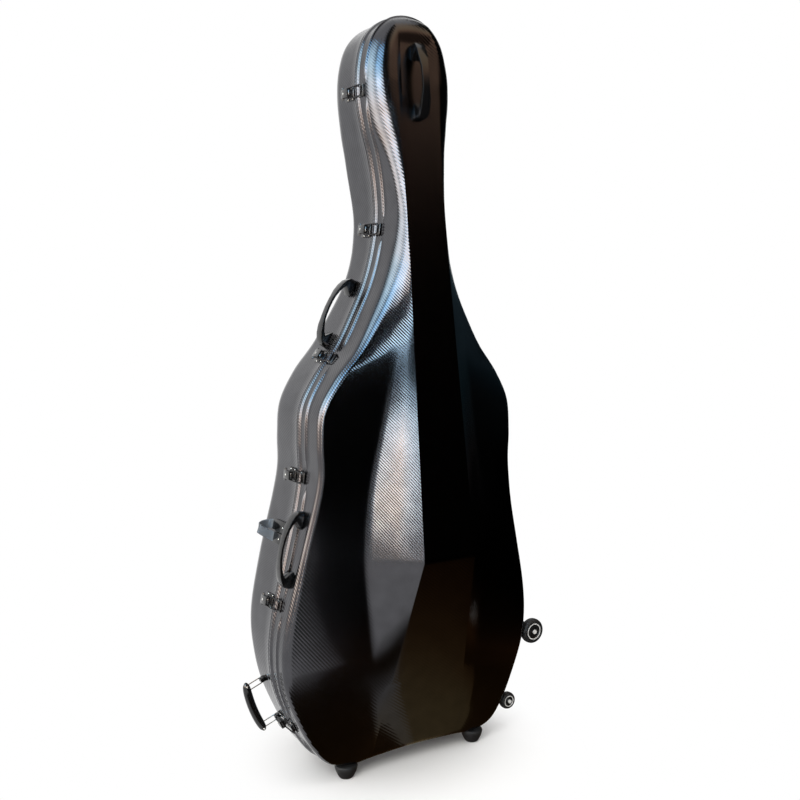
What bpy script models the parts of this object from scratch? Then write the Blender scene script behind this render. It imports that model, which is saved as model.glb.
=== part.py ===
"""Double bass case: a two-part moulded case with a faceted front lid.

Units are metres, +Z is up, the front faces -Y, and X = 0 is the plane of symmetry.
The shells meet on the plane Y = 0. Every sub-part is its own object; pieces that
turn have their origin on the axis they turn about.
"""

import math

import bmesh
import bpy
import numpy as np
from mathutils import Matrix, Vector
from mathutils.geometry import interpolate_bezier

# Clearances and wall sizes
GAP = 0.0003
WALL = 0.0035
LINING = 0.008
LINING_GAP = 0.0006
PARTING_GAP = 0.0004
SEAL_THICK = 0.003
SEAL_TONGUE = 0.008
SEAL_SEAT = 0.019

# Rim outline seen from the front, bottom centre to top centre: (half width, height)
RIM = [
    (0.0, 0.043), (0.110, 0.039), (0.205, 0.035), (0.262, 0.052), (0.305, 0.100),
    (0.347, 0.180), (0.379, 0.270), (0.387, 0.350), (0.380, 0.430), (0.347, 0.580),
    (0.309, 0.740), (0.297, 0.820), (0.299, 0.900), (0.292, 0.985), (0.250, 1.062),
    (0.188, 1.140), (0.144, 1.220), (0.107, 1.300), (0.083, 1.380), (0.070, 1.470),
    (0.074, 1.550), (0.088, 1.630), (0.108, 1.700), (0.122, 1.780), (0.119, 1.860),
    (0.098, 1.925), (0.052, 1.967), (0.0, 1.980),
]
SIDE_STATIONS = 27
STRIP_COLUMNS = 2

# Rim lip and the raised bead round the front shell
LIP_OUT = 0.004
LIP_STRAIGHT = 0.007
LIP_END = 0.0125
BEAD_DEPTH = 0.042
BEAD_HALF = 0.006
BEAD_HEIGHT = 0.004
BEAD_FADE = 0.030
BEAD_LATCH_BREAK = 0.020
BEAD_FOOT_BREAK = (0.0, 0.060)
BEAD_RIGHT_BREAKS = [(0.0, 0.470), (0.860, 1.020)]

# Front strip: (height, half width, depth in front of the rim)
STRIP_BOTTOM = (0.070, 0.135, 0.098)
STRIP_PEAK = (0.604, 0.078, 0.254)
STRIP_TOP_MARGIN = 0.075
STRIP_TOP = (RIM[-1][1] - STRIP_TOP_MARGIN, 0.0445, 0.082)
BOTTOM_SPLIT = 0.150
TOP_SPLIT = 0.052

# Front shell sections: (height, depth of the side corner), (height, corner radius)
CORNER_STEPS = 3
CORNER_SHARE = 0.85
FRONT_BLEND = (0.30, 1.80)
FRONT_CORNER = [
    (0.04, 0.090), (0.18, 0.083), (0.34, 0.086), (0.50, 0.092), (0.66, 0.098), (0.82, 0.114),
    (0.98, 0.113), (1.14, 0.121), (1.30, 0.122), (1.46, 0.124), (1.58, 0.112), (1.70, 0.090),
    (1.82, 0.082), (1.98, 0.080),
]
FRONT_RADIUS = [
    (0.04, 0.024), (0.34, 0.026), (1.14, 0.028), (1.38, 0.036), (1.62, 0.050), (1.78, 0.064),
    (1.98, 0.066),
]
# Soft crease between side panel and flank: (height, half width), (height, depth)
CREASE_X = [
    (0.07, 0.1352), (0.20, 0.158), (0.40, 0.170), (0.604, 0.183), (0.80, 0.168), (0.95, 0.141),
    (1.10, 0.117), (1.25, 0.087), (1.35, 0.0615),
]
CREASE_DEPTH = [
    (0.07, 0.098), (0.20, 0.134), (0.40, 0.151), (0.604, 0.152), (0.80, 0.145), (0.95, 0.153),
    (1.10, 0.161), (1.25, 0.161), (1.35, 0.156),
]
CREASE_TOP = 1.35
HEAD_CREASE = 0.80
HEAD_BULGE = 0.006
HEAD_BULGE_FADE = (0.4, 0.1)

# Back shell sections; BACK_MIDDLE is the shares of the run and the rise of the point between
BACK_BLEND = (0.36, 1.78)
BACK_MIDDLE = (0.62, 0.78)
BACK_CORNER = [
    (0.04, 0.104), (0.18, 0.108), (0.30, 0.130), (0.42, 0.171), (0.54, 0.184), (0.66, 0.184),
    (0.82, 0.172), (0.98, 0.163), (1.12, 0.168), (1.22, 0.150), (1.32, 0.121), (1.44, 0.122),
    (1.60, 0.146), (1.74, 0.138), (1.88, 0.136), (1.98, 0.128),
]
BACK_RADIUS = [
    (0.04, 0.042), (0.18, 0.044), (0.42, 0.050), (1.10, 0.050), (1.38, 0.046), (1.70, 0.060),
    (1.98, 0.075),
]
BACK_CROWN = [
    (0.09, 0.120), (0.25, 0.160), (0.42, 0.190), (0.60, 0.202), (0.85, 0.192), (1.10, 0.180),
    (1.32, 0.142), (1.46, 0.138), (1.62, 0.154), (1.90, 0.145),
]
SPINE_HALF = 0.040
SPINE_STEP = 0.004
SPINE_BOTTOM = 0.110
SPINE_TOP_MARGIN = 0.090

# Hardware heights on the left wall
LATCH_HEIGHTS = [0.150, 0.481, 0.805, 1.109, 1.440, 1.787]
UPPER_HANDLE = (1.218, 0.052)
LOWER_HANDLE = (0.628, -0.047)
HEAD_HANDLE_MARGIN = 0.097
GRIP_HEIGHT = 0.205
GRIP_DEPTH = 0.0675
LOOP_HEIGHT = 0.655
BIG_WHEEL_HEIGHT = 0.290
SMALL_WHEEL_HEIGHT = 0.106

# Handles, side view: length, rise, strap
HANDLE_LENGTH = 0.200
HANDLE_RISE = 0.042
HANDLE_WIDTH = 0.027
HANDLE_WAIST = 0.020
STRAP_THICK = 0.0055
FOOT_LENGTH = 0.046

# Latch
LATCH_WIDTH = 0.036
LATCH_BASE_START = 0.0145
LATCH_BASE_END = 0.057
LATCH_PLATE = 0.0028
LATCH_PIVOT = (0.0215, 0.0112)
LATCH_BOSS_RADIUS = 0.0052
LATCH_BOSS_HALF = 0.0068
LATCH_BOSS_NECK = 0.0036
LATCH_PIN_RADIUS = 0.0017
LEVER_CHEEK = 0.0036
LEVER_WEB = 0.0024
LEVER_END = 0.0585
LEVER_PADDLE_START = 0.0450
LEVER_PADDLE_HALF = 0.0165
BAIL_RADIUS = 0.0017
BAIL_ROOT = (0.0315, 0.0092)
BAIL_REACH = -0.0300
BAIL_DROP = 0.0080
KEEPER_WIDTH = 0.030
KEEPER_START = -0.0345
KEEPER_END = -0.0155
KEEPER_PLATE = 0.0024

# Hinges
HINGE_LENGTH = 0.084
LOWER_HINGE_SPAN = (0.25, 0.66)
UPPER_HINGE_SPAN = (0.80, 1.10)
KNUCKLES = 3
KNUCKLE_RADIUS = 0.0042
KNUCKLE_GAP = 0.0004
PIN_RADIUS = 0.0018
HINGE_PLATE = 0.0025
HINGE_PLATE_END = 0.046
HINGE_RISE = LIP_OUT + 0.0062

# Wheels
BIG_WHEEL = (0.0365, 0.0135)
SMALL_WHEEL = (0.0245, 0.0120)
WHEEL_START = 0.0555
WHEEL_WALL_GAP = 0.0055
WHEEL_SIDES = 18
AXLE_RADIUS = 0.0042
AXLE_CLEARANCE = 0.00025
BRACKET_START = 0.0375
BRACKET_FLANGE_START = 0.0165
BRACKET_FLANGE = 0.004

# Feet
FOOT_RADIUS = 0.031
FOOT_BASE = 0.0165
FRONT_FOOT = (0.205, -0.070)
BACK_FOOT = (0.150, 0.064)

# Carrying grip
GRIP_SPAN = 0.118
GRIP_STANDOFF = 0.050
GRIP_BOW = 0.008
GRIP_RADIUS = 0.0115
GRIP_OVERHANG = 0.017
LINK_WIDTH = 0.016
LINK_RADIUS = 0.0016
LINK_PIVOT = 0.0060
MOUNT_LENGTH = 0.011
MOUNT_HALF = 0.0075
MOUNT_COVER = 0.003
MOUNT_BEVEL = 0.0015
LINK_SEAT = 0.0075

# Strap loop: band ends one above the other, each in a pocket that opens to the back
LOOP_CENTRE = 0.053
LOOP_BAND = 0.024
LOOP_THICK = 0.0032
LOOP_ENDS = (0.012, -0.0195)
LOOP_MOUTHS = (0.034, 0.017)
LOOP_TAIL = 0.017
LOOP_LEAD = 0.003
LOOP_BACKMOST = (0.055, 0.021)
LOOP_OUTERMOST = (0.044, 0.0405)
POCKET_FRONTS = (-0.040, -0.028)
POCKET_FLOOR = 0.002
POCKET_WALL = 0.0027
POCKET_BEVEL = 0.0012
POCKET_PEG = 0.0020

# Padding inside
PAD_THICK = 0.026
PAD_LENGTH = 0.150
PAD_HALF_WIDTH = 0.032
PAD_CENTRE = 0.060
PAD_HEIGHT = 0.505
CRADLE_HEIGHT = 1.470
CRADLE_HALF = 0.040
CRADLE_BLOCK = 0.050
NECK_RADIUS = 0.026

PARTS = "double_bass_case"
CUTTERS = "cutters"


# Scene set-up

def clear_scene():
    for old in list(bpy.data.objects):
        bpy.data.objects.remove(old, do_unlink=True)
    for name in (PARTS, CUTTERS):
        group = bpy.data.collections.new(name)
        bpy.context.scene.collection.children.link(group)


def material(name, colour, roughness, metallic=0.0, coat=0.0):
    made = bpy.data.materials.get(name)
    if made is None:
        made = bpy.data.materials.new(name)
        made.use_nodes = True
        shader = made.node_tree.nodes["Principled BSDF"]
        shader.inputs["Base Color"].default_value = (*colour, 1.0)
        shader.inputs["Roughness"].default_value = roughness
        shader.inputs["Metallic"].default_value = metallic
        shader.inputs["Coat Weight"].default_value = coat
    return made


FINISHES = {
    "carbon_laminate": ((0.020, 0.020, 0.022), 0.25, 0.0, 1.0),
    "lining_plush": ((0.045, 0.045, 0.050), 0.95, 0.0, 0.0),
    "pad_fabric": ((0.030, 0.030, 0.033), 0.90, 0.0, 0.0),
    "seal_rubber": ((0.015, 0.015, 0.015), 0.70, 0.0, 0.0),
    "handle_plastic": ((0.012, 0.012, 0.013), 0.15, 0.0, 0.5),
    "latch_black": ((0.015, 0.015, 0.016), 0.30, 0.6, 0.0),
    "bright_steel": ((0.75, 0.75, 0.76), 0.20, 1.0, 0.0),
    "foot_rubber": ((0.010, 0.010, 0.010), 0.65, 0.0, 0.0),
    "tyre_rubber": ((0.012, 0.012, 0.012), 0.60, 0.0, 0.0),
    "hub_plastic": ((0.020, 0.020, 0.022), 0.35, 0.0, 0.0),
    "bracket_plastic": ((0.012, 0.012, 0.012), 0.45, 0.0, 0.0),
    "loop_webbing": ((0.055, 0.060, 0.066), 0.55, 0.0, 0.0),
}


# Mesh helpers

def mesh_from(bm, name):
    mesh = bpy.data.meshes.new(name)
    bm.to_mesh(mesh)
    bm.free()
    return mesh


def loose_object(mesh, name):
    made = bpy.data.objects.new(name, mesh)
    bpy.data.collections[CUTTERS].objects.link(made)
    made.hide_render = True
    made.display_type = "WIRE"
    return made


def bake(made):
    """Evaluated mesh of an object, welded, facing out; the object is removed."""
    bpy.context.view_layer.update()
    graph = bpy.context.evaluated_depsgraph_get()
    mesh = bpy.data.meshes.new_from_object(made.evaluated_get(graph))
    mesh.transform(made.matrix_world)
    bpy.data.objects.remove(made, do_unlink=True)
    bm = bmesh.new()
    bm.from_mesh(mesh)
    bmesh.ops.remove_doubles(bm, verts=bm.verts, dist=0.00001)
    bmesh.ops.recalc_face_normals(bm, faces=bm.faces)
    bm.to_mesh(mesh)
    bm.free()
    return mesh


def block(low, high, bevel=0.0):
    """Box between two corners, its edges rounded off by one flat."""
    low, high = Vector(low), Vector(high)
    bm = bmesh.new()
    bmesh.ops.create_cube(bm, size=1.0)
    bmesh.ops.scale(bm, vec=high - low, verts=bm.verts)
    bmesh.ops.translate(bm, vec=(low + high) / 2, verts=bm.verts)
    if bevel:
        bmesh.ops.bevel(bm, geom=bm.edges, offset=bevel, segments=1, affect="EDGES")
    return mesh_from(bm, "block")


def rod(radius, start, end, sides=12):
    """Cylinder from start to end."""
    start, end = Vector(start), Vector(end)
    bm = bmesh.new()
    bmesh.ops.create_cone(bm, cap_ends=True, segments=sides, radius1=radius, radius2=radius,
                          depth=(end - start).length)
    turn = (end - start).to_track_quat("Z", "Y").to_matrix().to_4x4()
    bm.transform(Matrix.Translation((start + end) / 2) @ turn)
    return mesh_from(bm, "rod")


def turned(profile, sides):
    """Solid of revolution about Z; the profile runs down its outer side."""
    mesh = bpy.data.meshes.new("profile")
    edges = [(k, k + 1) for k in range(len(profile) - 1)]
    if profile[0][0] > 0.0:
        edges.append((len(profile) - 1, 0))
    mesh.from_pydata([(r, 0.0, h) for r, h in profile], edges, [])
    made = loose_object(mesh, "profile")
    screw = made.modifiers.new("turn", "SCREW")
    screw.steps = sides
    screw.render_steps = sides
    screw.use_merge_vertices = True
    screw.merge_threshold = 0.00001
    return bake(made)


def flat_solid(outline, low, high):
    """Outline in local X and Z, thickened along Y from low to high."""
    curve = bpy.data.curves.new("outline", "CURVE")
    curve.dimensions = "2D"
    curve.fill_mode = "BOTH"
    curve.extrude = (high - low) / 2
    spline = curve.splines.new("POLY")
    spline.points.add(len(outline) - 1)
    for point, (across, up) in zip(spline.points, outline):
        point.co = (across, up, 0.0, 1.0)
    spline.use_cyclic_u = True
    made = loose_object(curve, "outline")
    stand = Matrix.Rotation(math.radians(90), 4, "X")
    made.matrix_world = Matrix.Translation((0.0, (low + high) / 2, 0.0)) @ stand
    return bake(made)


def tube(points, radius, resolution=1, radii=None):
    curve = bpy.data.curves.new("tube", "CURVE")
    curve.dimensions = "3D"
    curve.bevel_depth = radius
    curve.bevel_resolution = resolution
    curve.use_fill_caps = True
    spline = curve.splines.new("POLY")
    spline.points.add(len(points) - 1)
    for index, (point, place) in enumerate(zip(spline.points, points)):
        point.co = (*place, 1.0)
        if radii:
            point.radius = radii[index]
    return bake(loose_object(curve, "tube"))


def combined(mesh, others, operation="UNION"):
    """Boolean of a mesh with each of the others in turn."""
    made = loose_object(mesh, "combined")
    tools = [loose_object(other, "tool") for other in others]
    for tool in tools:
        step = made.modifiers.new("cut", "BOOLEAN")
        step.operation = operation
        step.solver = "EXACT"
        step.object = tool
    result = bake(made)
    for tool in tools:
        bpy.data.objects.remove(tool, do_unlink=True)
    return result


def frame_of(along_axis, across, out, place):
    """Placement whose local axes are three given directions."""
    frame = Matrix((along_axis, across, out)).transposed().to_4x4()
    frame.translation = place
    return frame


def add(name, mesh, finish, place=None, parent=None):
    """Put a sub-part in the scene with its material, at its place."""
    made = bpy.data.objects.new(name, mesh)
    made.data.name = name
    bpy.data.collections[PARTS].objects.link(made)
    made.data.materials.clear()
    made.data.materials.append(material(finish, *FINISHES[finish]))
    made.parent = parent
    if place is not None:
        made.matrix_world = place
    return made


# Outline of the case

def along(height, stations):
    """Smooth value at a height, through (height, value) stations."""
    heights = np.array([s[0] for s in stations])
    values = np.array([s[1] for s in stations])
    slopes = np.gradient(values, heights)
    height = min(max(height, heights[0]), heights[-1])
    k = min(max(int(np.searchsorted(heights, height)) - 1, 0), len(heights) - 2)
    span = heights[k + 1] - heights[k]
    t = (height - heights[k]) / span
    start = values[k] * (1 + 2 * t) * (1 - t) ** 2 + slopes[k] * span * t * (1 - t) ** 2
    end = values[k + 1] * t * t * (3 - 2 * t) - slopes[k + 1] * span * t * t * (1 - t)
    return float(start + end)


def dense_rim(per_span=40):
    """Fine points of a smooth curve through the RIM stations."""
    points = np.array(RIM)
    mirror = np.array([-1.0, 1.0])
    points = np.vstack([points[1] * mirror, points, points[-2] * mirror])
    knots = np.concatenate([[0.0], np.cumsum(np.sqrt(np.linalg.norm(np.diff(points, axis=0),
                                                                    axis=1)))])
    out = []
    for k in range(1, len(points) - 2):
        p0, p1, p2, p3 = points[k - 1:k + 3]
        t0, t1, t2, t3 = knots[k - 1:k + 3]
        for t in np.linspace(t1, t2, per_span, endpoint=False):
            a1 = (t1 - t) / (t1 - t0) * p0 + (t - t0) / (t1 - t0) * p1
            a2 = (t2 - t) / (t2 - t1) * p1 + (t - t1) / (t2 - t1) * p2
            a3 = (t3 - t) / (t3 - t2) * p2 + (t - t2) / (t3 - t2) * p3
            b1 = (t2 - t) / (t2 - t0) * a1 + (t - t0) / (t2 - t0) * a2
            b2 = (t3 - t) / (t3 - t1) * a2 + (t - t1) / (t3 - t1) * a3
            out.append((t2 - t) / (t2 - t1) * b1 + (t - t1) / (t2 - t1) * b2)
    out.append(points[-2])
    return np.array(out)


def rim_stations():
    """Half outline from bottom centre to top centre, closer where it turns."""
    fine = dense_rim()
    steps = np.diff(fine, axis=0)
    lengths = np.linalg.norm(steps, axis=1)
    angles = np.unwrap(np.arctan2(steps[:, 1], steps[:, 0]))
    bend = np.abs(np.gradient(angles, np.cumsum(lengths)))
    bend = np.convolve(bend, np.ones(15) / 15, mode="same")
    weight = np.concatenate([[0.0], np.cumsum(lengths * (np.sqrt(bend) + 1.3))])
    middle = len(fine) // 2
    low = int(np.argmin(np.abs(fine[:middle, 0] - BOTTOM_SPLIT)))
    high = middle + int(np.argmin(np.abs(fine[middle:, 0] - TOP_SPLIT)))
    marks = np.linspace(weight[low], weight[high], SIDE_STATIONS + 1)
    side = [int(np.argmin(np.abs(weight - mark))) for mark in marks]
    for height in LATCH_HEIGHTS + [STRIP_PEAK[0]]:
        exact = low + int(np.argmin(np.abs(fine[low:high, 1] - height)))
        nearest = int(np.argmin([abs(s - exact) for s in side]))
        if 0 < nearest < SIDE_STATIONS:
            side[nearest] = exact
    bottom = [int(np.argmin(np.abs(fine[:middle, 0] - BOTTOM_SPLIT * k / STRIP_COLUMNS)))
              for k in range(STRIP_COLUMNS)]
    top = [high + int(round((len(fine) - 1 - high) * k / STRIP_COLUMNS))
           for k in range(1, STRIP_COLUMNS + 1)]
    chosen = fine[bottom + side + top]
    chosen[0, 0] = 0.0
    chosen[-1, 0] = 0.0
    return chosen


def outward_normals(points):
    """Unit normals of the half outline, pointing out of the case, mitred."""
    padded = np.vstack([points[1] * [-1, 1], points, points[-2] * [-1, 1]])
    edges = np.diff(padded, axis=0)
    normals = np.stack([edges[:, 1], -edges[:, 0]], axis=1)
    normals /= np.linalg.norm(normals, axis=1)[:, None]
    joint = normals[:-1] + normals[1:]
    joint /= np.linalg.norm(joint, axis=1)[:, None]
    miter = np.sum(joint * normals[1:], axis=1)
    return joint / miter[:, None]


# Shells

def inner_heights(points, bottom, top, blend_low, blend_high):
    """Height on the strip edge that each side station runs in to."""
    count = len(points)
    first, last = STRIP_COLUMNS, count - 1 - STRIP_COLUMNS
    steps = np.linalg.norm(np.diff(points, axis=0), axis=1)
    run = np.concatenate([[0.0], np.cumsum(steps)])
    low = next(k for k in range(first, last) if points[k, 1] > blend_low)
    high = next(k for k in range(last, first, -1) if points[k, 1] < blend_high)
    heights = points[:, 1].copy()
    for k in range(first, low):
        share = (run[k] - run[first]) / (run[low] - run[first])
        heights[k] = bottom + (points[low, 1] - bottom) * share
    for k in range(high + 1, last + 1):
        share = (run[last] - run[k]) / (run[last] - run[high])
        heights[k] = top - (top - points[high, 1]) * share
    heights[:first] = bottom
    heights[last + 1:] = top
    return heights


class Corner:
    """Rounding between the wall and the line from the corner to a target point."""

    def __init__(self, depth, target, radius):
        run, rise = target[0], target[1] - depth
        self.turn = math.pi / 2 - math.atan2(rise, run)
        reach = min(radius * math.tan(self.turn / 2), CORNER_SHARE * math.hypot(run, rise),
                    CORNER_SHARE * depth)
        self.radius = reach / math.tan(self.turn / 2)
        self.start = depth - reach

    def angle_at(self, depth):
        """Angle on the arc at a depth; none on the straight wall."""
        share = (depth - self.start) / self.radius
        return math.asin(min(max(share, 0.0), 1.0))

    def point(self, angle, depth=None, proud=0.0):
        """Point at an angle on the arc, or on the wall at a depth, proud of the surface."""
        across = self.radius * (1 - math.cos(angle)) - proud * math.cos(angle)
        forward = self.start + self.radius * math.sin(angle)
        if depth is not None and depth < self.start:
            forward = depth
        return across, forward + proud * math.sin(angle)


def strip_edge(height):
    """Half width and depth of the front strip's edge at a height."""
    low, high = (STRIP_BOTTOM, STRIP_PEAK) if height < STRIP_PEAK[0] else (STRIP_PEAK, STRIP_TOP)
    share = (height - low[0]) / (high[0] - low[0])
    return low[1] + (high[1] - low[1]) * share, low[2] + (high[2] - low[2]) * share


def spine_edge(height):
    """Half width and depth of the crowned middle of the back."""
    return SPINE_HALF, along(height, BACK_CROWN)


def front_section(rim, inner, half, depth):
    """Corner depth, radius, and the crease point for one front section."""
    run = float(np.linalg.norm(np.array(rim) - np.array(inner)))
    corner = along(rim[1], FRONT_CORNER)
    radius = along(rim[1], FRONT_RADIUS)
    height = inner[1]
    if STRIP_BOTTOM[0] < height < CREASE_TOP:
        share = (rim[0] - along(height, CREASE_X)) / (rim[0] - half)
        crease = (run * share, along(height, CREASE_DEPTH))
    else:
        rising = (height - CREASE_TOP) / HEAD_BULGE_FADE[0]
        falling = (STRIP_TOP[0] - height) / HEAD_BULGE_FADE[1]
        bulge = HEAD_BULGE * min(1.0, max(0.0, rising), max(0.0, falling))
        crease = (run * HEAD_CREASE, corner + (depth - corner) * HEAD_CREASE + bulge)
    return run, corner, radius, crease


def back_section(rim, inner, half, depth):
    """Corner depth, radius, and the middle point for one back section."""
    run = float(np.linalg.norm(np.array(rim) - np.array(inner)))
    corner = min(along(rim[1], BACK_CORNER), depth - SPINE_STEP)
    radius = along(rim[1], BACK_RADIUS)
    middle = (run * BACK_MIDDLE[0], corner + (depth - corner) * BACK_MIDDLE[1])
    return run, corner, radius, middle


class Side:
    """One half of the case: which way it faces, and its section functions."""

    def __init__(self, sign, edge, section, span, blend):
        self.sign = sign
        self.edge = edge
        self.section = section
        self.points = rim_stations()
        self.normals = outward_normals(self.points)
        self.heights = inner_heights(self.points, *span, *blend)

    def inner_point(self, index):
        """Where station index meets the strip: (half width, height, depth)."""
        count = len(self.points)
        height = self.heights[index]
        half, depth = self.edge(height)
        if index < STRIP_COLUMNS:
            half *= index / STRIP_COLUMNS
        elif index > count - 1 - STRIP_COLUMNS:
            half *= (count - 1 - index) / STRIP_COLUMNS
        return half, height, depth

    def row(self, index, start, arc_step=1):
        """Points of one section from the wall to the strip edge.

        start is the list of (offset out of the wall, depth) that comes before the corner.
        """
        rim = self.points[index]
        normal = self.normals[index]
        half, height, depth = self.inner_point(index)
        inner = np.array((half, height))
        full, _ = self.edge(height)
        run, corner, radius, crease = self.section(rim, inner, full, depth)
        inward = (inner - rim) / run
        rounding = Corner(corner, crease, radius)
        out = []
        for offset, deep in start:
            if deep < rounding.start:
                place = rim + normal * offset
            else:
                across, deep = rounding.point(rounding.angle_at(deep), proud=offset)
                place = rim + inward * across
            out.append((place[0], self.sign * deep, place[1]))
        first = rounding.angle_at(start[-1][1] + 0.003)
        for k in range(0, CORNER_STEPS + 1, arc_step):
            angle = first + (rounding.turn - first) * k / CORNER_STEPS
            across, deep = rounding.point(angle)
            place = rim + inward * across
            out.append((place[0], self.sign * deep, place[1]))
        place = rim + inward * crease[0]
        out.append((place[0], self.sign * crease[1], place[1]))
        out.append((half, self.sign * depth, height))
        return out

    def surface(self, starts, arc_step=1):
        """Open half surface on +X, facing out, with its strip filled in."""
        count = len(self.points)
        rows = [self.row(k, starts(k), arc_step) for k in range(count)]
        bm = bmesh.new()
        grid = [[bm.verts.new(p) for p in row] for row in rows]
        for k in range(count - 1):
            for j in range(len(rows[0]) - 1):
                bm.faces.new((grid[k][j], grid[k + 1][j], grid[k + 1][j + 1], grid[k][j + 1]))
        first, last = STRIP_COLUMNS, count - 1 - STRIP_COLUMNS
        bands = []
        for k in range(first, last + 1):
            if k == first:
                band = [grid[c][-1] for c in range(STRIP_COLUMNS + 1)]
            elif k == last:
                band = [grid[count - 1 - c][-1] for c in range(STRIP_COLUMNS + 1)]
            else:
                half, height, depth = self.inner_point(k)
                band = [bm.verts.new((half * c / STRIP_COLUMNS, self.sign * depth, height))
                        for c in range(STRIP_COLUMNS)] + [grid[k][-1]]
            bands.append(band)
        for low, high in zip(bands[:-1], bands[1:]):
            for c in range(STRIP_COLUMNS):
                bm.faces.new((low[c], low[c + 1], high[c + 1], high[c]))
        bm.normal_update()
        bm.faces.ensure_lookup_table()
        if bm.faces[-1].normal.y * self.sign < 0:
            bmesh.ops.reverse_faces(bm, faces=bm.faces)
        return mesh_from(bm, "half")


def mirrored(mesh):
    made = loose_object(mesh, "mirrored")
    flip = made.modifiers.new("mirror", "MIRROR")
    flip.use_axis = (True, False, False)
    flip.merge_threshold = 0.00001
    return bake_open(made)


def both_halves(right, left):
    """Open surface of a whole shell from its right half and a left half to be mirrored."""
    bm = bmesh.new()
    bm.from_mesh(left)
    bmesh.ops.scale(bm, vec=(-1.0, 1.0, 1.0), verts=bm.verts)
    bmesh.ops.reverse_faces(bm, faces=bm.faces)
    bm.from_mesh(right)
    bmesh.ops.remove_doubles(bm, verts=bm.verts, dist=0.00001)
    return mesh_from(bm, "shell")


def bake_open(made):
    """Evaluated mesh of an open surface, its faces left as they point."""
    bpy.context.view_layer.update()
    graph = bpy.context.evaluated_depsgraph_get()
    mesh = bpy.data.meshes.new_from_object(made.evaluated_get(graph))
    bpy.data.objects.remove(made, do_unlink=True)
    return mesh


def thickened(made, thickness):
    wall = made.modifiers.new("wall", "SOLIDIFY")
    wall.thickness = thickness
    wall.offset = -1.0
    wall.use_even_offset = True


def moved_in(mesh, distance):
    """Open surface moved inwards by a distance, kept parallel to itself."""
    bm = bmesh.new()
    bm.from_mesh(mesh)
    bm.normal_update()
    shifts = [vert.normal * (-distance * vert.calc_shell_factor()) for vert in bm.verts]
    for vert, shift in zip(bm.verts, shifts):
        vert.co += shift
    return mesh_from(bm, "moved")


def bead_share(height, breaks):
    """How much of its full height the bead has: none within a break."""
    nearest = min(max(low - height, height - high) for low, high in breaks)
    return min(1.0, max(0.0, nearest / BEAD_FADE))


def front_starts(side, breaks):
    lip = [(LIP_OUT, PARTING_GAP), (LIP_OUT, LIP_STRAIGHT), (0.0, LIP_END)]

    def starts(index):
        rise = BEAD_HEIGHT * bead_share(side.points[index, 1], breaks)
        bead = [(0.0, BEAD_DEPTH - BEAD_HALF), (rise, BEAD_DEPTH), (0.0, BEAD_DEPTH + BEAD_HALF)]
        return lip + bead
    return starts


def back_starts(index):
    return [(LIP_OUT, PARTING_GAP), (LIP_OUT, LIP_STRAIGHT), (0.0, LIP_END)]


def seal_band(points, normals):
    """Band inside the back wall's edge that stands into the front shell as a tongue."""
    bm = bmesh.new()
    rows = []
    for point, normal in zip(points, normals):
        place = point - normal * (WALL + GAP)
        rows.append([bm.verts.new((place[0], depth, place[1])) for depth in (-SEAL_TONGUE, SEAL_SEAT)])
    rows[0][0].co.x = rows[0][1].co.x = rows[-1][0].co.x = rows[-1][1].co.x = 0.0
    for low, high in zip(rows[:-1], rows[1:]):
        bm.faces.new((low[0], low[1], high[1], high[0]))
    bm.normal_update()
    bm.faces.ensure_lookup_table()
    middle = bm.faces[len(rows) // 2]
    if middle.normal.x < 0:
        bmesh.ops.reverse_faces(bm, faces=bm.faces)
    return mesh_from(bm, "band")


def add_shell(name, mesh, thickness, finish, parent):
    made = add(name, mesh, finish, parent=parent)
    thickened(made, thickness)
    return made


# Places on the walls

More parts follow.
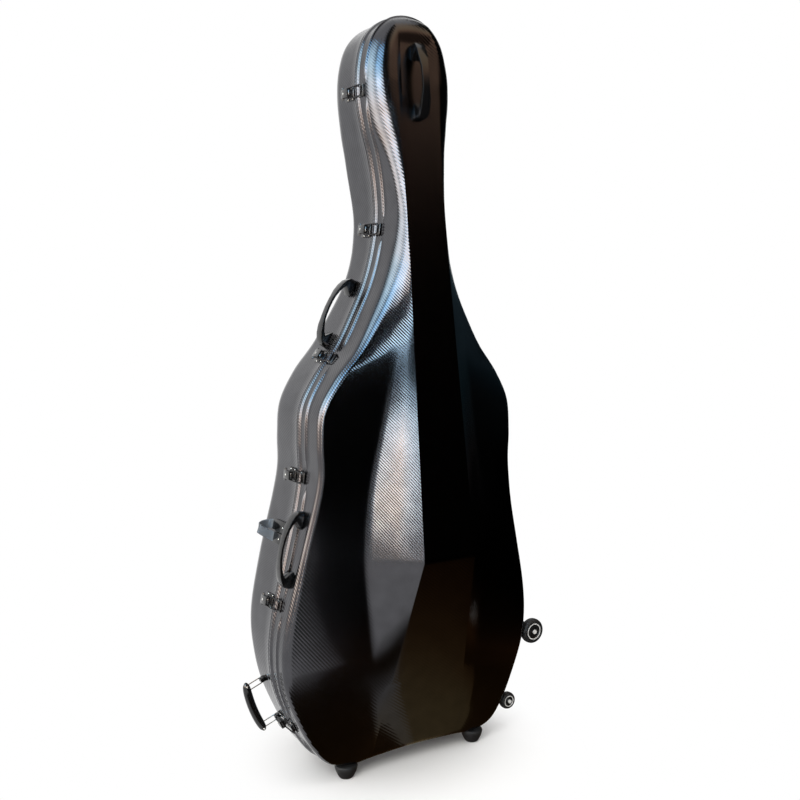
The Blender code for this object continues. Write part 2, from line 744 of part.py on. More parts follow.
class Walls:
    """The rim polygon, and flat seats for hardware on it."""

    def __init__(self, side):
        self.points = side.points

    def at(self, height):
        """Index and share of the rim edge that crosses a height, above the feet."""
        for k in range(STRIP_COLUMNS, len(self.points) - 1):
            low, high = self.points[k, 1], self.points[k + 1, 1]
            if low <= height < high:
                return k, (height - low) / (high - low)
        raise ValueError("no wall at this height")

    def run(self):
        steps = np.linalg.norm(np.diff(self.points, axis=0), axis=1)
        return np.concatenate([[0.0], np.cumsum(steps)])

    def point_at(self, distance):
        run = self.run()
        return np.array([np.interp(distance, run, self.points[:, 0]),
                         np.interp(distance, run, self.points[:, 1])])

    def seat(self, height, half_length, left=True, inside=0.0):
        """Frame on the wall: X along it, Y across to the back, Z out of its seat plane.

        The plane clears every wall point within half_length of the centre by GAP.
        inside is the thickness of what lies under an inner seat, whose Z points in.
        """
        k, share = self.at(height)
        run = self.run()
        centre = run[k] + (run[k + 1] - run[k]) * share
        low, high = self.point_at(centre - half_length), self.point_at(centre + half_length)
        tangent = (high - low) / np.linalg.norm(high - low)
        normal = np.array([tangent[1], -tangent[0]])
        middle = self.point_at(centre)
        inner = [self.points[j] for j in range(len(run)) if abs(run[j] - centre) < half_length]
        reach = [float(np.dot(p - middle, normal)) for p in inner + [low, high, middle]]
        if inside:
            base = middle + normal * (min(reach) - inside)
        else:
            base = middle + normal * (max(reach) + GAP)
        flip = -1.0 if left else 1.0
        along_wall = Vector((flip * tangent[0], 0.0, tangent[1]))
        out = Vector((flip * normal[0], 0.0, normal[1]))
        if inside:
            out = -out
        across = Vector((0.0, 1.0, 0.0))
        if along_wall.cross(across).dot(out) < 0:
            along_wall = -along_wall
        return frame_of(along_wall, across, out, (flip * base[0], 0.0, base[1]))

    def under(self, frame, low, high, left=True):
        """Heights in a seat's frame of a straight foot from low to high that clears the wall."""
        flip = -1.0 if left else 1.0
        back = frame.inverted()
        local = [back @ Vector((flip * x, 0.0, z)) for x, z in self.points]
        near = sorted((p.x, p.z) for p in local if abs(p.x) < 0.30 and abs(p.z) < 0.06)
        ends = [float(np.interp(spot, [p[0] for p in near], [p[1] for p in near]))
                for spot in (low, high)]
        proud = [p[1] - float(np.interp(p[0], (low, high), ends)) for p in near if low < p[0] < high]
        lift = GAP + max(proud + [0.0])
        return ends[0] + lift, ends[1] + lift


HALF_TURN = Matrix.Rotation(math.pi, 4, "Z")


# Latches

def latch_base():
    """Plate with the round boss that the lever straddles, and the lever's pin."""
    pivot_y, pivot_z = LATCH_PIVOT
    plate = block((-LATCH_WIDTH / 2, LATCH_BASE_START, 0.0),
                  (LATCH_WIDTH / 2, LATCH_BASE_END, LATCH_PLATE), 0.0008)
    boss = block((-LATCH_BOSS_HALF, pivot_y - LATCH_BOSS_NECK, LATCH_PLATE / 2),
                 (LATCH_BOSS_HALF, pivot_y + LATCH_BOSS_NECK, pivot_z))
    top = rod(LATCH_BOSS_RADIUS, (-LATCH_BOSS_HALF, pivot_y, pivot_z),
              (LATCH_BOSS_HALF, pivot_y, pivot_z))
    reach = lever_outer() - GAP
    pin = rod(LATCH_PIN_RADIUS, (-reach, pivot_y, pivot_z), (reach, pivot_y, pivot_z), 8)
    return combined(plate, [boss, top, pin])


def lever_outer():
    return LATCH_BOSS_HALF + GAP * 2 + LEVER_CHEEK


def latch_lever():
    """Channel over the boss that widens to a finger paddle; its origin is the pivot."""
    outer = lever_outer()
    under = LATCH_BOSS_RADIUS + GAP * 2
    tail = LEVER_END - LATCH_PIVOT[0]
    paddle = LEVER_PADDLE_START - LATCH_PIVOT[0]
    side_view = [(-0.0030, -0.0040), (-0.0052, 0.0), (-0.0030, under + LEVER_WEB),
                 (0.016, under + LEVER_WEB), (tail - 0.003, 0.0052), (tail, 0.0022),
                 (tail - 0.004, 0.0006), (0.014, -0.0042)]
    profile = flat_solid([(-y, z) for y, z in side_view], -outer, outer)
    quarter = Matrix.Rotation(math.radians(-90), 4, "Z")
    profile.transform(quarter)
    slot = block((-LATCH_BOSS_HALF - GAP * 2, -0.02, -0.02),
                 (LATCH_BOSS_HALF + GAP * 2, LATCH_BOSS_RADIUS + 0.0022, under))
    wide = block((-LEVER_PADDLE_HALF, paddle, 0.0012), (LEVER_PADDLE_HALF, tail - 0.002, 0.0050),
                 0.0012)
    hole = rod(LATCH_PIN_RADIUS + GAP, (-0.02, 0.0, 0.0), (0.02, 0.0, 0.0), 8)
    return combined(combined(profile, [wide]), [slot, hole], "DIFFERENCE")


def latch_bail():
    """Wire loop from the lever to the keeper; its origin is where it turns in the lever."""
    side = lever_outer() + GAP + BAIL_RADIUS + 0.0006
    inner = lever_outer() + GAP
    reach = BAIL_REACH - BAIL_ROOT[0]
    drop = BAIL_DROP - BAIL_ROOT[1]
    half = [(inner, 0.0, 0.0), (side, 0.0, 0.0), (side, reach + 0.006, drop * 0.9),
            (side - 0.0055, reach, drop)]
    points = half + [(-x, y, z) for x, y, z in reversed(half)]
    return tube(points, BAIL_RADIUS, 1)


def latch_keeper():
    plate = block((-KEEPER_WIDTH / 2, KEEPER_START, 0.0), (KEEPER_WIDTH / 2, KEEPER_END, KEEPER_PLATE),
                  0.0008)
    top = BAIL_DROP - BAIL_RADIUS - GAP * 2
    ridge = block((-0.0105, BAIL_REACH + 0.0024, KEEPER_PLATE / 2),
                  (0.0105, BAIL_REACH + 0.0052, top))
    return combined(plate, [ridge])


def add_latches(walls, root, lid):
    base, lever, bail, keeper = latch_base(), latch_lever(), latch_bail(), latch_keeper()
    pivot = Matrix.Translation((0.0, *LATCH_PIVOT))
    root_of_bail = Matrix.Translation((0.0, *BAIL_ROOT))
    for number, height in enumerate(LATCH_HEIGHTS, 1):
        seat = walls.seat(height, LATCH_WIDTH / 2)
        add(f"latch_{number}_base", base.copy(), "latch_black", seat, root)
        add(f"latch_{number}_lever", lever.copy(), "latch_black", seat @ pivot, root)
        add(f"latch_{number}_bail", bail.copy(), "bright_steel", seat @ root_of_bail, root)
        add(f"latch_{number}_keeper", keeper.copy(), "latch_black", seat, lid)


# Arch handles

def arch_handle(channel=None):
    """Bowed strap on two flared feet; X is its length and Z stands off the wall."""
    half = HANDLE_LENGTH / 2
    outer = []
    for k in range(13):
        angle = math.pi * k / 12
        outer.append((-half * math.cos(angle), HANDLE_RISE * math.sin(angle) ** 0.8))
    inner = []
    reach = half - 0.024
    for k in range(11):
        angle = math.pi * (0.10 + 0.80 * k / 10)
        inner.append((reach * math.cos(angle),
                      (HANDLE_RISE - STRAP_THICK) * math.sin(angle) ** 0.62))
    foot = half - FOOT_LENGTH
    outline = outer + [(foot, 0.0)] + inner + [(-foot, 0.0)]
    made = combined(flat_solid(outline, -HANDLE_WIDTH, HANDLE_WIDTH), [handle_plan()], "INTERSECT")
    if channel:
        low, high, height = channel
        made = combined(made, [block((-0.2, low, -0.01), (0.2, high, height))], "DIFFERENCE")
    return made


def handle_plan():
    """Plan of a handle, thickened past its height: rounded ends, wide feet, a narrower waist."""
    half, end = HANDLE_LENGTH / 2, HANDLE_WIDTH / 2
    quarter = [(half - end + end * math.cos(angle), end * math.sin(angle))
               for angle in np.linspace(0.0, math.pi / 2, 5)]
    quarter += [(half - FOOT_LENGTH, end), (half * 0.3, HANDLE_WAIST / 2)]
    upper = quarter + [(-x, y) for x, y in reversed(quarter)]
    plan = flat_solid(upper + [(x, -y) for x, y in reversed(upper)][1:-1], -HANDLE_RISE, HANDLE_RISE * 2)
    plan.transform(Matrix.Rotation(math.radians(90), 4, "X"))
    return plan


def add_handles(walls, root, lid):
    plain = arch_handle()
    height, across = UPPER_HANDLE
    seat = walls.seat(height, HANDLE_LENGTH / 2) @ Matrix.Translation((0.0, across, 0.0))
    add("upper_side_handle", plain, "handle_plastic", seat, root)

    height, across = LOWER_HANDLE
    low = -BEAD_DEPTH - BEAD_HALF - 0.001 - across
    high = -BEAD_DEPTH + BEAD_HALF + 0.001 - across
    over_bead = arch_handle((low, high, BEAD_HEIGHT + GAP))
    seat = walls.seat(height, HANDLE_LENGTH / 2) @ Matrix.Translation((0.0, across, 0.0))
    add("lower_side_handle", over_bead, "handle_plastic", seat, lid)

    height = STRIP_TOP[0] - HEAD_HANDLE_MARGIN
    _, depth = strip_edge(height)
    rise = Vector((0.0, STRIP_PEAK[2] - STRIP_TOP[2], STRIP_TOP[0] - STRIP_PEAK[0])).normalized()
    across_axis = Vector((-1.0, 0.0, 0.0))
    out = rise.cross(across_axis)
    frame = frame_of(rise, across_axis, out, Vector((0.0, -depth, height)) + out * GAP)
    add("head_handle", arch_handle(), "handle_plastic", frame, lid)


# Carrying grip on wire links

def add_grip(walls, root):
    half = GRIP_SPAN / 2
    seat = walls.seat(GRIP_HEIGHT, half + LINK_WIDTH / 2 + MOUNT_LENGTH)
    seat = seat @ Matrix.Translation((0.0, GRIP_DEPTH, 0.0))
    pivot = seat @ Matrix.Translation((0.0, 0.0, LINK_PIVOT))

    reach = half + GRIP_OVERHANG
    points, radii = [], []
    for k in range(11):
        share = -1 + 2 * k / 10
        points.append((reach * share, 0.0, GRIP_STANDOFF - GRIP_BOW * share * share))
        radii.append(0.50 + 0.50 * (1 - abs(share) ** 5) ** 0.5)
    sleeve = tube(points, GRIP_RADIUS, 2, radii)
    out = GRIP_STANDOFF - GRIP_BOW - GRIP_RADIUS + LINK_SEAT
    holes = [rod(LINK_RADIUS + GAP, (x, 0.0, 0.0), (x, 0.0, out + GAP), 8)
             for centre in (-half, half) for x in (centre - LINK_WIDTH / 2, centre + LINK_WIDTH / 2)]
    add("grip_sleeve", combined(sleeve, holes, "DIFFERENCE"), "handle_plastic", pivot, root)

    top = LINK_PIVOT + LINK_RADIUS + MOUNT_COVER
    for label, end in (("upper", 1), ("lower", -1)):
        centre = end * half
        low, high = centre - LINK_WIDTH / 2, centre + LINK_WIDTH / 2
        link = [(low, 0.0, out), (low, 0.0, 0.0), (high, 0.0, 0.0), (high, 0.0, out)]
        add(f"grip_{label}_link", tube(link, LINK_RADIUS, 1), "bright_steel", pivot, root)
        low, high = centre - MOUNT_LENGTH / 2, centre + MOUNT_LENGTH / 2
        base = walls.under(seat, low, high)
        saddle = flat_solid([(low, base[0]), (low, top - MOUNT_BEVEL), (low + MOUNT_BEVEL, top),
                             (high - MOUNT_BEVEL, top), (high, top - MOUNT_BEVEL), (high, base[1])],
                            -MOUNT_HALF, MOUNT_HALF)
        hole = rod(LINK_RADIUS + GAP, (low - 0.01, 0.0, LINK_PIVOT), (high + 0.01, 0.0, LINK_PIVOT), 8)
        add(f"grip_{label}_mount", combined(saddle, [hole], "DIFFERENCE"), "handle_plastic", seat, root)


# Strap loop

def loop_route():
    """Middle line of the band: (back, off the wall, along the wall), tail to tail."""
    level = POCKET_FLOOR + GAP + LOOP_THICK / 2
    (upper, lower), (mouth, last) = LOOP_ENDS, LOOP_MOUTHS
    start, end = Vector((mouth + LOOP_LEAD, level, upper)), Vector((last + LOOP_LEAD, level, lower))
    middle = (upper + lower) / 2
    backmost = Vector((*LOOP_BACKMOST, middle + 0.009))
    outermost = Vector((*LOOP_OUTERMOST, middle - 0.002))
    spans = [(start, (0.012, 0.0, 0.0), (0.0, -0.010, 0.003), backmost),
             (backmost, (0.0, 0.010, -0.003), (0.006, 0.001, 0.002), outermost),
             (outermost, (-0.010, -0.002, -0.004), (0.012, 0.002, 0.0), end)]
    tail = Vector((LOOP_LEAD + LOOP_TAIL, 0.0, 0.0))
    route = [start - tail]
    for low, leave, arrive, high in spans:
        route += interpolate_bezier(low, low + Vector(leave), high + Vector(arrive), high, 7)[:-1]
    return route + [end, end - tail]


def ribbon(route, width, thick):
    """Flat band swept along a route, its width kept near the local Z."""
    outline = bpy.data.curves.new("section", "CURVE")
    path = bpy.data.curves.new("route", "CURVE")
    path.dimensions = "3D"
    path.twist_mode = "Z_UP"
    path.use_fill_caps = True
    path.bevel_mode = "OBJECT"
    path.bevel_object = loose_object(outline, "section")
    corners = [(x * thick / 2, y * width / 2, 0.0) for x, y in ((-1, -1), (1, -1), (1, 1), (-1, 1))]
    for curve, places in ((outline, corners), (path, route)):
        spline = curve.splines.new("POLY")
        spline.points.add(len(places) - 1)
        for point, place in zip(spline.points, places):
            point.co = (*place, 1.0)
        spline.use_cyclic_u = curve is outline
    band = bake(loose_object(path, "route"))
    bpy.data.objects.remove(bpy.data.objects["section"], do_unlink=True)
    return band


def add_strap_loop(walls, root):
    """Band that leaves one pocket, turns back and comes home into the pocket below it."""
    half = LOOP_BAND / 2 + POCKET_WALL
    seat = walls.seat(LOOP_HEIGHT, max(abs(end) for end in LOOP_ENDS) + half)
    seat = seat @ Matrix.Translation((0.0, LOOP_CENTRE, 0.0))
    band = ribbon(loop_route(), LOOP_BAND, LOOP_THICK)
    band.transform(Matrix(((0, 0, 1, 0), (1, 0, 0, 0), (0, 1, 0, 0), (0, 0, 0, 1))))

    roof = POCKET_FLOOR + GAP * 2 + LOOP_THICK
    top = roof + POCKET_WALL
    covers, slots, pegs, holes = [], [], [], []
    for along_wall, mouth, front in zip(LOOP_ENDS, LOOP_MOUTHS, POCKET_FRONTS):
        covers.append(block((along_wall - half, front, 0.0), (along_wall + half, mouth, top), POCKET_BEVEL))
        slots.append(block((along_wall - LOOP_BAND / 2 - GAP, mouth - LOOP_TAIL - GAP, POCKET_FLOOR),
                           (along_wall + LOOP_BAND / 2 + GAP, mouth + LOOP_TAIL, roof)))
        spot = mouth - LOOP_TAIL / 2
        pegs.append(rod(POCKET_PEG, (along_wall, spot, POCKET_FLOOR / 2),
                        (along_wall, spot, roof + POCKET_WALL / 2), 8))
        holes.append(rod(POCKET_PEG + GAP, (along_wall, spot, 0.0), (along_wall, spot, top), 8))
    between = sum(LOOP_ENDS) / 2
    web = block((between - half / 4, POCKET_FRONTS[1] + POCKET_WALL, 0.0),
                (between + half / 4, LOOP_MOUTHS[1] - POCKET_WALL, POCKET_FLOOR))
    clamp = combined(covers[0], [covers[1], web])
    clamp = combined(combined(clamp, slots, "DIFFERENCE"), pegs)
    add("strap_loop", combined(band, holes, "DIFFERENCE"), "loop_webbing", seat, root)
    add("strap_loop_clamp", clamp, "handle_plastic", seat, root)


# Wheels

def wheel_meshes(size):
    """Tyre and hub as turned pieces about Y, from WHEEL_START outwards."""
    radius, half = size
    rim = radius * 0.70
    tyre = turned([(radius - 0.004, half), (radius, half - 0.004), (radius, 0.004 - half),
                   (radius - 0.004, -half), (rim + GAP, -half), (rim + GAP, half)], WHEEL_SIDES)
    bore = AXLE_RADIUS + AXLE_CLEARANCE
    hub = turned([(rim, half - 0.001), (rim, 0.001 - half), (bore, 0.001 - half),
                  (bore, half - 0.003), (rim * 0.80, half - 0.003)], WHEEL_SIDES)
    lay = Matrix.Translation((0.0, WHEEL_START + half, 0.0)) @ Matrix.Rotation(
        math.radians(-90), 4, "X")
    tyre.transform(lay)
    hub.transform(lay)
    return tyre, hub


def small_wheel_mesh(size):
    """Wheel in one piece, turned about Y."""
    radius, half = size
    bore = AXLE_RADIUS + AXLE_CLEARANCE
    wheel = turned([(radius - 0.004, half), (radius, half - 0.004), (radius, 0.004 - half),
                    (radius - 0.004, -half), (bore, 0.001 - half), (bore, half - 0.003),
                    (radius * 0.40, half - 0.003), (radius * 0.62, half - 0.002)], WHEEL_SIDES)
    wheel.transform(Matrix.Translation((0.0, WHEEL_START + half, 0.0)) @ Matrix.Rotation(
        math.radians(-90), 4, "X"))
    return wheel


def axle_mesh(half):
    end = WHEEL_START + 2 * half - 0.003
    head = rod(AXLE_RADIUS * 2.1, (0.0, end + GAP, 0.0), (0.0, end + GAP + 0.0034, 0.0), 12)
    shaft = rod(AXLE_RADIUS, (0.0, BRACKET_START + 0.001, 0.0), (0.0, end + 0.001, 0.0), 12)
    return combined(shaft, [head])


def bracket_mesh(stand_off, half_height, half_wheel):
    """Arm with a round end on a flange against the wall, and the axle fixed in it."""
    boss = AXLE_RADIUS * 3.4
    outline = [(-half_height, 0.0), (-half_height, BRACKET_FLANGE + 0.004)]
    for k in range(9):
        angle = math.pi * (1.0 - k / 8)
        outline.append((boss * math.cos(angle), stand_off + boss * math.sin(angle)))
    outline += [(half_height, BRACKET_FLANGE + 0.004), (half_height, 0.0)]
    end = WHEEL_START - 0.0012
    arm = flat_solid(outline, BRACKET_START, end)
    flange = block((-half_height, BRACKET_FLANGE_START, 0.0),
                   (half_height, BRACKET_START + 0.004, BRACKET_FLANGE))
    axle = axle_mesh(half_wheel)
    axle.transform(Matrix.Translation((0.0, 0.0, stand_off)))
    return combined(arm, [flange, axle])


def add_wheels(walls, root, lid):
    spots = [("large", BIG_WHEEL_HEIGHT, BIG_WHEEL, 0.029),
             ("small", SMALL_WHEEL_HEIGHT, SMALL_WHEEL, 0.022)]
    for label, height, size, half_height in spots:
        stand_off = size[0] + WHEEL_WALL_GAP
        seat = walls.seat(height, half_height, left=False)
        bracket = bracket_mesh(stand_off, half_height, size[1])
        for end, turn, parent in (("back", Matrix.Identity(4), root), ("front", HALF_TURN, lid)):
            frame = seat @ turn
            centre = frame @ Matrix.Translation((0.0, 0.0, stand_off))
            add(f"{end}_{label}_bracket", bracket.copy(), "bracket_plastic", frame, parent)
            if label == "small":
                add(f"{end}_small_wheel", small_wheel_mesh(size), "tyre_rubber", centre, parent)
            else:
                tyre, hub = wheel_meshes(size)
                add(f"{end}_large_tyre", tyre, "tyre_rubber", centre, parent)
                add(f"{end}_large_hub", hub, "hub_plastic", centre, parent)


# Hinges

def hinge_line(points):
    """The two rim stations that one straight edge laid on the right side touches."""
    best = None
    lower, upper = ([k for k in range(len(points)) if low < points[k, 1] < high]
                    for low, high in (LOWER_HINGE_SPAN, UPPER_HINGE_SPAN))
    for a in lower:
        for b in upper:
            step = points[b] - points[a]
            normal = np.array([step[1], -step[0]]) / np.linalg.norm(step)
            if max(np.dot(p - points[a], normal) for p in points) < 0.00001:
                best = (points[a], points[b])
    return best


def leaf(back):
    """Hinge leaf: plate on the wall, a step over the lip, and its knuckles."""
    half = HINGE_LENGTH / 2
    pin_z = HINGE_RISE
    clear = KNUCKLE_RADIUS + 0.0005
    plate = block((-half, LIP_END + 0.002, 0.0), (half, HINGE_PLATE_END, HINGE_PLATE), 0.0006)
    riser = block((-half, LIP_END + 0.0015, HINGE_PLATE * 0.4),
                  (half, LIP_END + 0.0040, LIP_OUT + 0.0033))
    web = block((-half, clear, LIP_OUT + 0.0008), (half, LIP_END + 0.0035, LIP_OUT + 0.0032))
    pieces = [riser, web]
    width = HINGE_LENGTH / KNUCKLES
    for k in range(0 if back else 1, KNUCKLES, 2):
        low = -half + width * k + KNUCKLE_GAP / 2
        high = low + width - KNUCKLE_GAP
        pieces.append(rod(KNUCKLE_RADIUS, (low, 0.0, pin_z), (high, 0.0, pin_z), 12))
        pieces.append(block((low, 0.0010, LIP_OUT + 0.0010),
                            (high, clear + 0.001, LIP_OUT + 0.0030)))
    body = combined(plate, pieces)
    if back:
        pin = rod(PIN_RADIUS, (-half - 0.002, 0.0, pin_z), (half + 0.002, 0.0, pin_z), 8)
        body = combined(body, [pin])
    else:
        bore = rod(PIN_RADIUS + GAP, (-half - 0.01, 0.0, pin_z), (half + 0.01, 0.0, pin_z), 8)
        body = combined(body, [bore], "DIFFERENCE")
        body.transform(Matrix.Diagonal((1.0, -1.0, 1.0, 1.0)))
        body.flip_normals()
    return body


def add_hinges(walls, root, lid):
    low, high = hinge_line(walls.points)
    step = (high - low) / np.linalg.norm(high - low)
    normal = np.array([step[1], -step[0]])
    down = Vector((-step[0], 0.0, -step[1]))
    across = Vector((0.0, 1.0, 0.0))
    out = Vector((normal[0], 0.0, normal[1]))
    back_leaf, front_leaf = leaf(True), leaf(False)
    frames = []
    for label, point in (("lower", low), ("upper", high)):
        place = point + normal * GAP
        frame = frame_of(down, across, out, (place[0], 0.0, place[1]))
        frames.append(frame)
        add(f"{label}_hinge_back_leaf", back_leaf.copy(), "latch_black", frame, root)
        add(f"{label}_hinge_front_leaf", front_leaf.copy(), "latch_black", frame, lid)
    origin = frames[0] @ Vector((0.0, 0.0, HINGE_RISE))
    print("hinge point", [round(v, 5) for v in origin], "axis", [round(v, 5) for v in -down])


# Feet

def add_feet(side, root, lid):
    def lowest(across):
        spots = np.linspace(across - FOOT_RADIUS, across + FOOT_RADIUS, 9)
        count = len(side.points)
        half = side.points[:count // 3]
        return min(float(np.interp(x, half[:, 0], half[:, 1])) for x in spots)

    for name, (across, depth), parent in (("front", FRONT_FOOT, lid), ("back", BACK_FOOT, root)):
        top = lowest(across) - GAP
        foot = turned([(0.0, top), (FOOT_RADIUS - 0.002, top), (FOOT_RADIUS, top * 0.86),
                       (FOOT_RADIUS * 0.86, top * 0.40), (FOOT_BASE * 1.20, 0.0016),
                       (FOOT_BASE, 0.0), (0.0, 0.0)], 16)
        for label, sign in (("left", -1), ("right", 1)):
            add(f"{name}_{label}_foot", foot.copy(), "foot_rubber",
                Matrix.Translation((sign * across, depth, 0.0)), parent)


# Padding

def add_padding(side, walls, root):
    under = WALL + LINING_GAP + LINING + GAP
    for label, left in (("left", True), ("right", False)):
        seat = walls.seat(PAD_HEIGHT, PAD_LENGTH / 2, left=left, inside=under)
        pad = block((-PAD_LENGTH / 2, PAD_CENTRE - PAD_HALF_WIDTH, 0.0),
                    (PAD_LENGTH / 2, PAD_CENTRE + PAD_HALF_WIDTH, PAD_THICK), 0.006)
        add(f"{label}_bout_pad", pad, "pad_fabric", seat, root)

    low, high = CRADLE_HEIGHT - CRADLE_HALF, CRADLE_HEIGHT + CRADLE_HALF
    back = min(along(h, BACK_CROWN) for h in np.linspace(low, high, 9)) - under - 0.0005
    front = back - CRADLE_BLOCK
    width = 0.043
    cradle = block((-width, front, low), (width, back, high), 0.005)
    groove = rod(NECK_RADIUS, (0.0, front, low - 0.02), (0.0, front, high + 0.02), 16)
    add("neck_cradle", combined(cradle, [groove], "DIFFERENCE"), "pad_fabric", parent=root)


# Assembly

def stand_on_origin(root):
    """Move the whole case so that its box stands centred on the origin."""
    bpy.context.view_layer.update()
    graph = bpy.context.evaluated_depsgraph_get()
    low, high = np.full(3, 1e9), np.full(3, -1e9)
    for made in bpy.data.collections[PARTS].objects:
        if made.type != "MESH":
            continue
        shape = made.evaluated_get(graph)
        spots = np.array([made.matrix_world @ v.co for v in shape.to_mesh().vertices])
        low, high = np.minimum(low, spots.min(axis=0)), np.maximum(high, spots.max(axis=0))
        shape.to_mesh_clear()
    shift = Vector((-(low[0] + high[0]) / 2, -(low[1] + high[1]) / 2, -low[2]))
    root.location = shift
    bpy.context.view_layer.update()
    print("shift", [round(v, 5) for v in shift], "size", [round(v, 4) for v in high - low])


def main():
    clear_scene()
    root = bpy.data.objects.new("case", None)
    lid = bpy.data.objects.new("lid", None)
    for empty in (root, lid):
        bpy.data.collections[PARTS].objects.link(empty)
    lid.parent = root

    front = Side(-1, strip_edge, front_section, (STRIP_BOTTOM[0], STRIP_TOP[0]), FRONT_BLEND)
    spine_top = RIM[-1][1] - SPINE_TOP_MARGIN
    back = Side(1, spine_edge, back_section, (SPINE_BOTTOM, spine_top), BACK_BLEND)
    walls = Walls(front)

    left_breaks = [BEAD_FOOT_BREAK]
    left_breaks += [(h - BEAD_LATCH_BREAK, h + BEAD_LATCH_BREAK) for h in LATCH_HEIGHTS]
    front_mesh = both_halves(front.surface(front_starts(front, BEAD_RIGHT_BREAKS)),
                             front.surface(front_starts(front, left_breaks)))
    back_mesh = mirrored(back.surface(back_starts))
    add_shell("front_shell", front_mesh, WALL, "carbon_laminate", lid)
    add_shell("back_shell", back_mesh, WALL, "carbon_laminate", root)

    ring = mirrored(seal_band(front.points, front.normals))
    add_shell("rim_seal", ring, SEAL_THICK, "seal_rubber", root)

    inside = WALL + LINING_GAP
    front_inner = mirrored(front.surface(lambda k: [(0.0, LIP_END + 0.002)], CORNER_STEPS))
    back_inner = mirrored(back.surface(lambda k: [(0.0, LIP_END + 0.008)], CORNER_STEPS))
    add_shell("front_lining", moved_in(front_inner, inside), LINING, "lining_plush", lid)
    add_shell("back_lining", moved_in(back_inner, inside), LINING, "lining_plush", root)

    add_latches(walls, root, lid)
    add_handles(walls, root, lid)
    add_grip(walls, root)
    add_strap_loop(walls, root)
    add_wheels(walls, root, lid)
    add_hinges(walls, root, lid)
    add_feet(front, root, lid)
    add_padding(front, walls, root)
    stand_on_origin(root)


main()
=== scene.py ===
"""Looks of the double bass case: its shells, fittings, padding, materials, light and view."""

import math

import bmesh
import bpy
import numpy as np
from mathutils import Euler, Matrix, Vector
from mathutils.bvhtree import BVHTree


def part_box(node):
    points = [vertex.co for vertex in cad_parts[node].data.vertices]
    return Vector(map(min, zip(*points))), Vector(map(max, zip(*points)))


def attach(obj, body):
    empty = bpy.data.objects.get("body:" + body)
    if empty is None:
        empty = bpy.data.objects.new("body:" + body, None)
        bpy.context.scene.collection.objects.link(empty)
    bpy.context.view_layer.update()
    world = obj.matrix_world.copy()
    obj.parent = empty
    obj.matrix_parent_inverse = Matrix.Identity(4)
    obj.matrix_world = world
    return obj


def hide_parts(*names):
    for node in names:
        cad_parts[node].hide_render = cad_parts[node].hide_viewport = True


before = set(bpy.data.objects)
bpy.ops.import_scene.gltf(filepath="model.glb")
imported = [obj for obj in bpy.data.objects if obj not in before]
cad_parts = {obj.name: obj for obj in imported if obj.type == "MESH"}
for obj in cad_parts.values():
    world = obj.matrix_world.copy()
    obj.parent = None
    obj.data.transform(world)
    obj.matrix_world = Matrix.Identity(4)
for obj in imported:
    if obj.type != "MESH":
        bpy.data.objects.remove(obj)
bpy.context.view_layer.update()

SHIFT = Vector((-0.01153, 0.02594, 0.0))


# Materials

def colour(code):
    """Linear colour of an sRGB hex value."""
    parts = [int(code[k:k + 2], 16) / 255 for k in (1, 3, 5)]
    return tuple(p / 12.92 if p < 0.04045 else ((p + 0.055) / 1.055) ** 2.4 for p in parts) + (1.0,)


def put(tree, kind, settings=None, links=None):
    """Add a node with its settings, which are attributes or inputs, and its incoming links."""
    made = tree.nodes.new(kind)
    for key, value in (settings or {}).items():
        if key == "stops":
            points = made.color_ramp.elements
            while len(points) < len(value):
                points.new(0.5)
            for point, (place, code) in zip(points, value):
                point.position = place
                point.color = colour(code)
        elif isinstance(key, str) and hasattr(made, key):
            setattr(made, key, value)
        else:
            made.inputs[key].default_value = value
    for key, source in (links or {}).items():
        tree.links.new(source, made.inputs[key])
    return made


def blank(name, **values):
    """New material with one shader, its plain values set."""
    made = bpy.data.materials.new(name)
    made.use_nodes = True
    shader = made.node_tree.nodes["Principled BSDF"]
    for key, value in values.items():
        shader.inputs[key.replace("_", " ")].default_value = value
    return made, made.node_tree, shader


TOW = 0.0022
TWILL_SLOPE = 0.75


